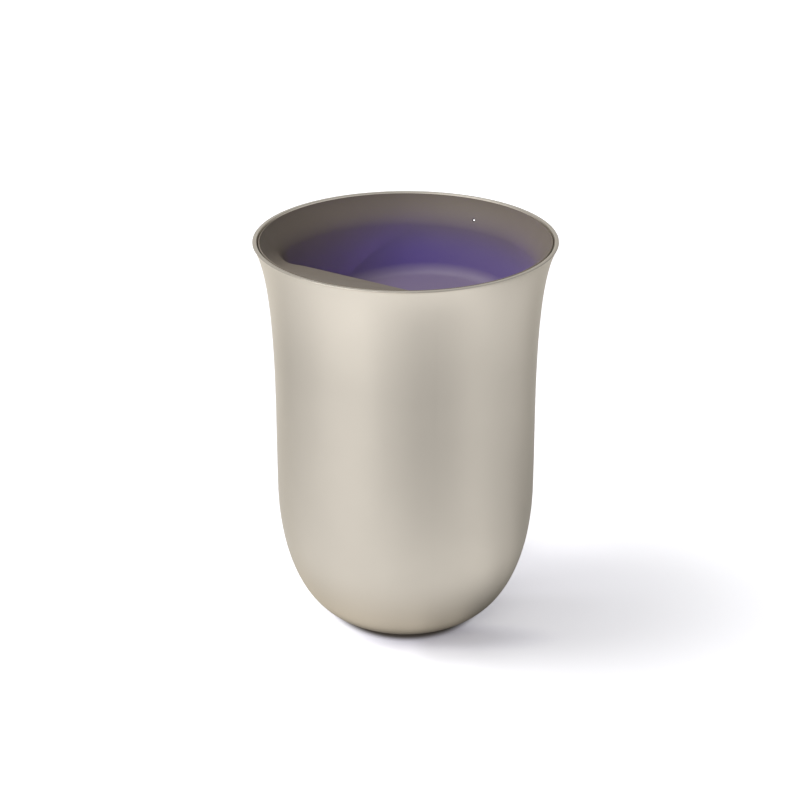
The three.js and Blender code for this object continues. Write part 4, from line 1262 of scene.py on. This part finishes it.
@dataclass
class PocketFittings:
    """What sits in the liner: floor pad, charging rest with its coil, the lamps' windows and the lens."""

    liner: MouldedLiner
    turned: TurnedForm
    copied: CopiedForm
    winding: Winding
    pad_size: Sizes = (62.0, 12.9, 1.5, 3.0)
    pad_low: float = 38.2
    pad_edge: float = 0.4
    rib_count: int = 15
    rib: Sizes = (1.4, 9.0, 0.35)
    rib_flat: float = 0.05
    rib_root: float = 0.3
    rib_edge: float = 0.2
    rest_size: Sizes = (64.0, 84.0, 5.0)
    rest_edge: float = 0.7
    rest_flange: Sizes = (80.0, 100.0, -6.6, -5.0)
    tray: Sizes = (58.8, 78.8, -12.0, -1.6, 3.7)
    coil_place: Place = (9.0, -2.4)
    coil_radii: Place = (10.6, 22.4)
    wire: float = 0.56
    turns: float = 10.0
    pane: Sizes = (52.0, 9.0, -2.6, -0.3, 1.5, 0.3)
    pane_flange: Sizes = (57.2, 14.2, -3.2, -2.0, 2.8)
    lens_back: Ring = ((0, 0.75), (0.7, 0.75), (0.75, 0.8), (0.75, 1.3))
    lens_dome: Sizes = (0.85, 0.75, 42.0)
    lens_sides: int = 32

    def pad(self) -> None:
        """Builds the ribbed rubber mat on the pocket's floor."""
        (width, depth, thickness, corner), (across, along, rise) = self.pad_size, self.rib
        top = self.pad_low + thickness - rise
        middle = (self.liner.shape.floor_front[0] + self.liner.shape.floor_back[0]) / 2
        body = Slab(width, depth, self.pad_low, top, corner, self.pad_edge).make()
        turn_into(body, Matrix.Translation((0, middle, 0)))
        rib = Slab(across, along, -self.rib_root, rise, across / 2 - self.rib_flat, self.rib_edge).make()
        reach = width / 2 - corner
        places = [(x, middle, top) for x in np.linspace(-reach, reach, self.rib_count)]
        made = joined("pocket_mat", [body, self.copied.make("ribs", places, rib, Slot.RUBBER)])
        finished(made, Slot.RUBBER, ["pocket_pad"])

    def rest(self) -> None:
        """Builds the panel that the phone leans on."""
        (width, length, corner), flange = self.rest_size, self.rest_flange
        made = Slab(width, length, flange[2], 0.0, corner, self.rest_edge).make("charging_rest")
        carve(made, [Slab(*flange, corner).make()], how=Blend.ADD)
        carve(made, [Slab(*self.tray).make()])
        finished(turn_into(made, self.liner.rest_frame()), Slot.DARK, ["charging_panel"])

    def coil(self) -> None:
        """Builds the wound charging coil behind the rest's skin."""
        made = self.winding.make("wound_coil", self.turns, *self.coil_radii, self.wire)
        turn_into(made, self.liner.rest_frame() @ Matrix.Translation((0, *self.coil_place)))
        finished(made, Slot.COPPER, ["charging_coil"])

    def windows(self) -> None:
        """Builds the two quartz windows of the lamps."""
        for place, distance in zip(("upper", "lower"), self.liner.window_heights):
            parts = [Slab(*size).make() for size in (self.pane, self.pane_flange)]
            piece = joined(f"quartz_window_{place}", parts)
            turn_into(piece, self.liner.front_frame(distance) @ Matrix.Rotation(math.pi, 4, "Y"))
            finished(piece, Slot.WINDOW, [f"uv_window_{place}"])

    def lens(self) -> None:
        """Builds the status light's small domed lens."""
        centre, radius, start = self.lens_dome
        dome = arc((0, centre), radius, start, 90, steps=6)
        rows = [*self.lens_back, *dome[:-1], (0.0, dome[-1][1])]
        made = self.turned.make("light_lens", rows, self.lens_sides, Slot.LIGHT_PIPE)
        finished(turn_into(made, self.liner.lens_frame()), Slot.LIGHT_PIPE, ["status_lens"])

    def build(self) -> None:
        """Builds all of them."""
        for build in (self.pad, self.rest, self.coil, self.windows, self.lens):
            build()


@dataclass
class Underside:
    """The rubber foot ring, the base plate and its screws."""

    turned: TurnedForm
    copied: CopiedForm
    sides: int = 128
    ring: Sizes = (21.0, 27.5, 1.1)
    ring_soft: float = 0.35
    plate: Sizes = (28.5, 1.2, 2.4, 23.7, 7.8)
    plate_soft: float = 0.3
    screw_circle: float = 17.0
    screw_angles: Sizes = (30.0, 150.0, 270.0)
    screw_seat: float = 4.2
    screw_gap: float = 0.1
    holes: Ring = ((1.65, 12.0), (3.0, 4.2))
    hole_sides: int = 40
    head: float = 2.7
    head_rise: float = 1.9
    head_soft: float = 0.3
    shank: float = 1.5
    tip: float = 0.5
    tip_length: float = 1.6
    length: float = 20.0
    socket: Place = (1.45, 1.0)
    socket_sides: int = 6

    def places(self, height: float) -> list[Sizes]:
        """Returns the screws' places at a height."""
        angles = map(math.radians, self.screw_angles)
        return [(self.screw_circle * math.cos(a), self.screw_circle * math.sin(a), height) for a in angles]

    def foot_ring(self) -> None:
        """Builds the rubber ring with its rounded edges."""
        (inner, outer, top), soft = self.ring, self.ring_soft
        rows = arc((inner + soft, soft), soft, 180, 270, steps=4)
        rows += arc((outer - soft, soft), soft, 270, 360, steps=4)
        rows += [(outer, top), (inner, top), (inner, soft)]
        made = self.turned.make("rubber_ring", rows, self.sides, Slot.RUBBER)
        finished(made, Slot.RUBBER, ["foot_ring"])

    def base_plate(self) -> None:
        """Builds the base plate with its counterbored holes."""
        (radius, low, high, hub, top), soft = self.plate, self.plate_soft
        rows = [(0.0, low), *arc((radius - soft, low + soft), soft, 270, 360)]
        rows += [(radius, high), (hub, high), (hub, top), (0.0, top)]
        made = self.turned.make("bottom_plate", rows, self.sides, Slot.DARK)
        cutters = [
            turn_into(bar(size, -OVERCUT, end, self.hole_sides), Matrix.Translation(place))
            for place in self.places(0.0) for size, end in self.holes
        ]
        finished(carve(made, cutters), Slot.DARK, ["base_plate"])

    def screws(self) -> None:
        """Builds the three base screws, head down."""
        head, rise, soft, shank, end = self.head, self.head_rise, self.head_soft, self.shank, -self.length
        rows = [(0.0, end), (self.tip, end), (shank, end + self.tip_length), (shank, -HAIR), (head, 0.0)]
        rows += [(head, rise - soft), (head - soft, rise), (0.0, rise)]
        screw = self.turned.make("screw", rows, self.hole_sides, Slot.STEEL)
        size, depth = self.socket
        carve(screw, [bar(size, rise - depth, rise + OVERCUT, self.socket_sides)])
        places = self.places(self.screw_seat - self.screw_gap)
        made = self.copied.make("bottom_screws", places, screw, Slot.STEEL, (math.pi, 0.0, 0.0))
        finished(made, Slot.STEEL, [f"base_screw_{i}" for i in (1, 2, 3)])

    def build(self) -> None:
        """Builds all of them."""
        for build in (self.foot_ring, self.base_plate, self.screws):
            build()


@dataclass
class RearControls:
    """The push button in its guide and the power inlet below it."""

    turned: TurnedForm
    sides: int = 96
    button_height: float = 64.0
    cap_radius: float = 4.5
    cap_edge: float = 0.45
    cap_dish: float = 0.35
    dish_rim: float = 0.3
    dish_rings: int = 9
    cap_flange: Place = (5.6, 1.3)
    bore: float = 4.8
    guide: float = 6.0
    guide_soft: float = 0.25
    guide_flange: Place = (8.0, 1.5)
    inlet_wall: float = 0.35
    inlet_depth: float = 6.4
    inlet_edge: float = 0.12

    def cap(self) -> None:
        """Builds the button's cap, with a shallow dish for the fingertip."""
        back, face = (corner.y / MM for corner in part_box("button_cap"))
        (wide, step), radius, edge = self.cap_flange, self.cap_radius, self.cap_edge
        rows = [(0.0, back), (wide, back), (wide, back + step), (radius, back + step)]
        rows += arc((radius - edge, face - edge), edge, 0, 90, steps=5)
        rim = radius - edge - self.dish_rim
        rows += [(rim * s, face - self.cap_dish * (1 - s * s)) for s in np.linspace(1, 0, self.dish_rings)]
        made = self.turned.make("push_button", rows, self.sides, Slot.SHELL)
        turn_into(made, along_y(self.button_height))
        finished(made, Slot.SHELL, ["button_cap"], Body.BUTTON)

    def collar(self) -> None:
        """Builds the guide that the cap slides in."""
        back, face = (corner.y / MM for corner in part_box("button_guide"))
        (wide, step), soft = self.guide_flange, self.guide_soft
        rows = [(self.bore, back), (wide, back), (wide, back + step), (self.guide, back + step)]
        rows += arc((self.guide - soft, face - soft), soft, 0, 90)
        rows += arc((self.bore + soft, face - soft), soft, 90, 180)
        made = self.turned.make("button_collar", [*rows, rows[0]], self.sides, Slot.DARK)
        finished(turn_into(made, along_y(self.button_height)), Slot.DARK, ["button_guide"])

    def inlet(self) -> None:
        """Builds the drawn steel sleeve of the power inlet."""
        low, high = (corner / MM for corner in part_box("inlet_socket"))
        width, depth, wall = high.x - low.x, high.z - low.z, self.inlet_wall
        body = Slab(width, depth, low.y, high.y, depth / 2 - HAIR, self.inlet_edge).make("power_inlet")
        floor, corner = high.y - self.inlet_depth, depth / 2 - wall - HAIR
        carve(body, [Slab(width - 2 * wall, depth - 2 * wall, floor, high.y + OVERCUT, corner).make()])
        turn_into(body, along_y((high.z + low.z) / 2))
        finished(body, Slot.STEEL, ["inlet_socket"])

    def build(self) -> None:
        """Builds all of them."""
        for build in (self.cap, self.collar, self.inlet):
            build()


class InnerWorks:
    """The pieces that keep their solids and only get a finish, by the start of their names."""

    STEMS: dict[Slot, tuple[str, ...]] = {
        Slot.REFLECTOR: ("uv_reflector",),
        Slot.WHITE_BOARD: ("uv_board", "coil_connector", "status_connector", "uv_connector"),
        Slot.CERAMIC: ("uv_led", "status_led", "switch_plunger"),
        Slot.FERRITE: ("coil_ferrite", "power_inductor"),
        Slot.SHIELD: ("coil_shield",),
        Slot.STEEL: ("uv_board_screw", "panel_screw", "chassis_screw", "board_screw", "ballast_weight"),
        Slot.BOARD: ("status_board", "main_board"),
        Slot.DARK: ("chassis",),
        Slot.CHIP: ("control_chip", "charge_chip", "inlet_tongue", "button_switch"),
        Slot.JACKET: ("coil_lead", "uv_lead", "uv_link_lead", "status_lead"),
    }

    def build(self) -> None:
        """Gives each shown solid the finish of the longest stem that starts its name."""
        slots = {stem: slot for slot, stems in self.STEMS.items() for stem in stems}
        for name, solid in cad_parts.items():
            if solid.hide_render:
                continue
            found = slots[max(filter(name.startswith, slots), key=len)]
            for slot in solid.material_slots:
                slot.material = FINISHES.of(found)
            LOG.info("%s keeps its solid, in %s", name, found.value)


@dataclass
class Studio:
    """The pale floor, the soft light and the camera.

    A ring of levels pairs degrees from the camera's side with a brightness. What is measured on the floor, so
    its size, reaches, shades and the ring of the painted contact shadow, is in metres. The floor carries
    painted shadows round the foot, both as the camera sees it and as the metal mirrors it.
    """

    azimuth: float = 33.0
    distance: float = 640.0
    height: float = 402.67
    pitch: float = 25.047
    lens: float = 71.36
    sensor: float = 36.0
    shift: float = -0.007
    clip: Place = (0.01, 50.0)
    floor_size: float = 8.0
    floor_grain: float = 600.0
    floor_whites: Place = (0.985, 1.0)
    bounce: Color = (0.7, 0.7, 0.7)
    far_ring: Ring = (
        (-180, 1.0), (-150, 0.97), (-114, 0.7), (-88, 0.84), (-54, 1.14), (-34, 1.2), (-12, 0.86),
        (12, 0.63), (28, 0.66), (56, 0.89), (95, 0.77), (130, 0.5), (165, 0.75), (180, 1.0),
    )
    # Partly painted shadow: the low levels on the right stand for the floor's shadow as the metal mirrors it.
    near_ring: Ring = (
        (-180, 0.8), (-115, 0.82), (-70, 1.05), (-42, 1.12), (-20, 1.1), (10, 1.0),
        (35, 0.98), (55, 1.0), (80, 0.72), (110, 0.42), (140, 0.4), (180, 0.8),
    )
    near_reach: Place = (0.14, 0.3)
    # Painted shadow in the mirrored floor: near the foot it is darkened by these levels and warmed by the
    # tint, darkest in the core.
    foot_ring: Ring = (
        (-180, 0.5), (-70, 0.72), (-35, 0.82), (0, 0.66), (30, 0.38), (60, 0.085), (120, 0.08), (180, 0.5),
    )
    foot_shadow_tint: Color = (1.06, 1.0, 0.91)
    foot_shade: Place = (0.035, 0.1)
    core_reach: Place = (0.034, 0.048)
    core_share: float = 0.15
    soft_turn: float = -42.0
    soft_levels: Place = (0.0, 0.94)
    dome: Place = (0.7, 0.6)
    key_strength: float = 0.413
    key_width: float = 23.0
    key_turn: float = -91.0
    key_rises: Sizes = (50.0, 56.5, 64.0, 75.0)
    lift: float = 0.31
    lift_color: Color = (0.97, 0.965, 1.06)
    # Painted light on the floor: the lift is raised in front of and left of the foot to clear shade there.
    lift_ring: Ring = (
        (-180, 1.0), (-110, 1.6), (-34, 2.3), (0, 1.9), (18, 1.35), (40, 1.12),
        (66, 1.05), (84, 1.1), (100, 1.35), (122, 1.65), (140, 1.3), (180, 1.0),
    )
    lift_reach: Place = (0.07, 0.15)
    # Painted shadow: an ellipse before the foot where the floor's lift is lowered and tinted violet.
    contact_place: Place = (22.0, 33.0)
    contact_size: Place = (42.0, 11.0)
    contact_fade: Place = (0.3, 1.3)
    contact_level: float = 0.42
    contact_shadow_color: Color = (0.97, 0.96, 1.2)
    # Painted contact shadow: the floor's colour and lift turn dark in a ring round the foot.
    contact_shadow_ring: Place = (0.032, 0.0371)
    painted_contact_shadow: Color = (0.34, 0.3, 0.28)

    def side(self, turn: float) -> Sizes:
        """Returns the level direction that lies some degrees round from the camera's."""
        angle = math.radians(self.azimuth + turn)
        return math.sin(angle), -math.cos(angle), 0.0

    @staticmethod
    def aim(made: Piece, along: Vector) -> None:
        """Turns a camera or a lamp to look along a direction."""
        made.rotation_mode = "QUATERNION"
        made.rotation_quaternion = along.to_track_quat("-Z", "Y")

    def camera(self) -> None:
        """Makes the camera, where the photographer's stood."""
        data = bpy.data.cameras.new("view")
        data.lens, data.sensor_width, data.shift_x = self.lens, self.sensor, self.shift
        data.clip_start, data.clip_end = self.clip
        made, side, tilt = placed("view", data), Vector(self.side(0.0)), math.radians(self.pitch)
        made.location = (side * self.distance + Vector((0, 0, self.height))) * MM
        self.aim(made, side * -math.cos(tilt) - Vector((0, 0, math.sin(tilt))))
        bpy.context.scene.camera = made

    def ring_level(self, graph: Graph, direction: Socket, levels: Ring) -> Socket:
        """Adds a brightness that changes round the object.

        Args:
            graph: the floor's or the world's nodes.
            direction: a place or direction from the object.
            levels: pairs of degrees from the camera's side and brightness.

        Returns:
            The brightness as a colour socket.
        """
        parts = graph.parts(direction)
        angle = graph.math("ARCTAN2", parts["X"], graph.math("MULTIPLY", parts["Y"], -1.0))
        away = graph.math("SUBTRACT", angle, math.radians(self.azimuth))
        wrapped = graph.math("WRAP", away, math.pi, -math.pi)
        share = graph.math("ADD", graph.math("DIVIDE", wrapped, 2.0 * math.pi), 0.5)
        node = graph.tree.nodes.new("ShaderNodeValToRGB")
        graph.feed(node, {"Fac": share})
        band = node.color_ramp
        band.interpolation = "EASE"
        while len(band.elements) < len(levels):
            band.elements.new(0.5)
        for element, (degrees, level) in zip(band.elements, levels):
            element.position = degrees / 360.0 + 0.5
            element.color = (level, level, level, 1.0)
        return node.outputs["Color"]

    def mirrored_floor(self, paint: Paint, reach: Socket) -> Socket:
        """Adds the floor's brightness as the metal mirrors it: a painted shadow, warm and darkest in its
        core, at the foot and banded further out.

        Args:
            paint: the floor's nodes.
            reach: how far a place on the floor is from the middle.

        Returns:
            The brightness as a colour socket.
        """
        far, near, foot = (
            self.ring_level(paint, paint.place, ring)
            for ring in (self.far_ring, self.near_ring, self.foot_ring)
        )
        lit = paint.mix(paint.ramp(reach, self.near_reach), near, far)
        # Painted shadow: the mirrored floor turns dark and warm close to the foot.
        core = paint.ramp(reach, self.core_reach, (self.core_share, 1.0))
        foot = paint.vector("SCALE", paint.vector("MULTIPLY", foot, self.foot_shadow_tint), Scale=core)
        return paint.mix(paint.ramp(reach, self.foot_shade), foot, lit)

    def floor_light_and_shadow(self, paint: Paint, reach: Socket) -> tuple[Socket, Socket]:
        """Adds the light painted onto the white floor: strongest close by, with a painted violet-tinted
        shadow before the foot.

        Args:
            paint: the floor's nodes.
            reach: how far a place on the floor is from the middle.

        Returns:
            The glow's colour and strength as sockets.
        """
        ring = self.ring_level(paint, paint.place, self.lift_ring)
        near = paint.mix(paint.ramp(reach, self.lift_reach), ring, WHITE)
        turned = {"Vector": paint.place, "Angle": -math.radians(self.azimuth)}
        place = paint.add("ShaderNodeVectorRotate", turned, rotation_type="Z_AXIS")["Vector"]
        # Painted shadow: the lift is lowered and tinted violet in an ellipse before the foot.
        right, front = metres(*self.contact_place)
        moved = paint.vector("SUBTRACT", place, (right, -front, 0.0))
        away = paint.vector("LENGTH", paint.vector("DIVIDE", moved, (*metres(*self.contact_size), 1.0)))
        lit = paint.ramp(away, self.contact_fade)
        level = paint.math("MULTIPLY_ADD", lit, 1 - self.contact_level, self.contact_level)
        strength = paint.math("MULTIPLY", paint.math("MULTIPLY", level, near), self.lift)
        return paint.mix(lit, self.contact_shadow_color, self.lift_color), strength

    def floor(self) -> None:
        """Makes the floor, white to the camera with painted shadows round the foot, and banded to gloss."""
        half = self.floor_size / 2 / MM
        corners = [(-half, -half, 0), (half, -half, 0), (half, half, 0), (-half, half, 0)]
        made = closed_mesh("floor", corners, [range(4)])
        paint = Paint("pale studio floor")
        tree = paint.tree
        tree.nodes.remove(paint.surface)
        path, reach = paint.add("ShaderNodeLightPath"), paint.vector("LENGTH", paint.place)
        grain = paint.spread(paint.noise(self.floor_grain), *self.floor_whites)
        tone = paint.add("ShaderNodeCombineColor", {0: grain, 1: grain, 2: grain})[0]
        # Painted contact shadow: a dark ring round the foot in the floor's colour and its lift.
        ring = paint.ramp(reach, self.contact_shadow_ring)
        seen = paint.add("ShaderNodeBsdfDiffuse", {"Color": paint.mix(ring, self.painted_contact_shadow, tone)})[0]
        color, strength = self.floor_light_and_shadow(paint, reach)
        strength = paint.math("MULTIPLY", strength, ring)
        lift = paint.add("ShaderNodeEmission", {"Color": color, "Strength": strength})[0]
        camera_side = paint.add("ShaderNodeAddShader", {0: seen, 1: lift})[0]
        bounce = paint.add("ShaderNodeBsdfDiffuse", {"Color": (*self.bounce, 1.0)})[0]
        banded = self.mirrored_floor(paint, reach)
        gloss = paint.add("ShaderNodeEmission", {"Color": banded, "Strength": 1.0})[0]
        mirrored = paint.math("MAXIMUM", path["Is Glossy Ray"], path["Is Transmission Ray"])
        first = paint.add("ShaderNodeMixShader", {0: path["Is Camera Ray"], 1: bounce, 2: camera_side})[0]
        second = paint.add("ShaderNodeMixShader", {0: mirrored, 1: first, 2: gloss})[0]
        output = next(node for node in tree.nodes if node.type == "OUTPUT_MATERIAL")
        paint.feed(output, {"Surface": second})
        made.data.materials.append(paint.material)

    def soft_light(self, graph: Graph, direction: Socket) -> Socket:
        """Adds the room's soft light, stronger from the front left than from the back right.

        Args:
            graph: the world's nodes.
            direction: the direction that is looked in.

        Returns:
            The light's colour as a socket.
        """
        half = tuple(part / 2 for part in self.side(self.soft_turn))
        share = graph.math("ADD", graph.vector("DOT_PRODUCT", direction, half), 0.5)
        light = graph.mix(share, *((level, level, level) for level in self.soft_levels))
        rise, (low, high) = graph.parts(direction)["Z"], self.dome
        level = graph.math("MULTIPLY_ADD", graph.math("MULTIPLY", rise, rise), high, low)
        return graph.vector("SCALE", light, Scale=level)

    def world(self) -> None:
        """Makes the world: white to the camera, banded to gloss and a soft light for the rest."""
        world = bpy.data.worlds.new("studio")
        bpy.context.scene.world = world
        world.use_nodes = True
        graph = Graph(world.node_tree)
        path, direction = graph.add("ShaderNodeLightPath"), graph.add("ShaderNodeTexCoord")["Generated"]
        mirrored = graph.math("MAXIMUM", path["Is Glossy Ray"], path["Is Transmission Ray"])
        banded = self.ring_level(graph, direction, self.far_ring)
        light = graph.mix(mirrored, self.soft_light(graph, direction), banded)
        color = graph.mix(path["Is Camera Ray"], light, WHITE)
        graph.feed(graph.tree.nodes["Background"], {"Color": color, "Strength": 1.0})

    def key(self) -> None:
        """Adds the key light at the camera's left: a tall narrow lamp, as distant lamps above each other."""
        for number, rise in enumerate(map(math.radians, self.key_rises), 1):
            data = bpy.data.lights.new(f"key_{number}", "SUN")
            data.energy, data.angle = self.key_strength, math.radians(self.key_width)
            made = placed(f"key_{number}", data)
            level, up = Vector(self.side(self.key_turn)), Vector((0, 0, 1))
            made.location = level * math.cos(rise) + up * math.sin(rise)
            self.aim(made, -made.location)

    def build(self) -> None:
        """Builds the studio."""
        bpy.context.scene.view_settings.view_transform = "Standard"
        for build in (self.camera, self.floor, self.world, self.key):
            build()


def main() -> None:
    """Builds every piece and the studio."""
    logging.basicConfig(level=logging.INFO, format="%(name)s: %(message)s")
    turned, copied, winding, liner = TurnedForm(), CopiedForm(), Winding(), MouldedLiner()
    for group in (
        Studio(), MetalShell(turned), liner, PocketFittings(liner, turned, copied, winding),
        Underside(turned, copied), RearControls(turned), InnerWorks(),
    ):
        group.build()


if __name__ == "__main__":
    main()
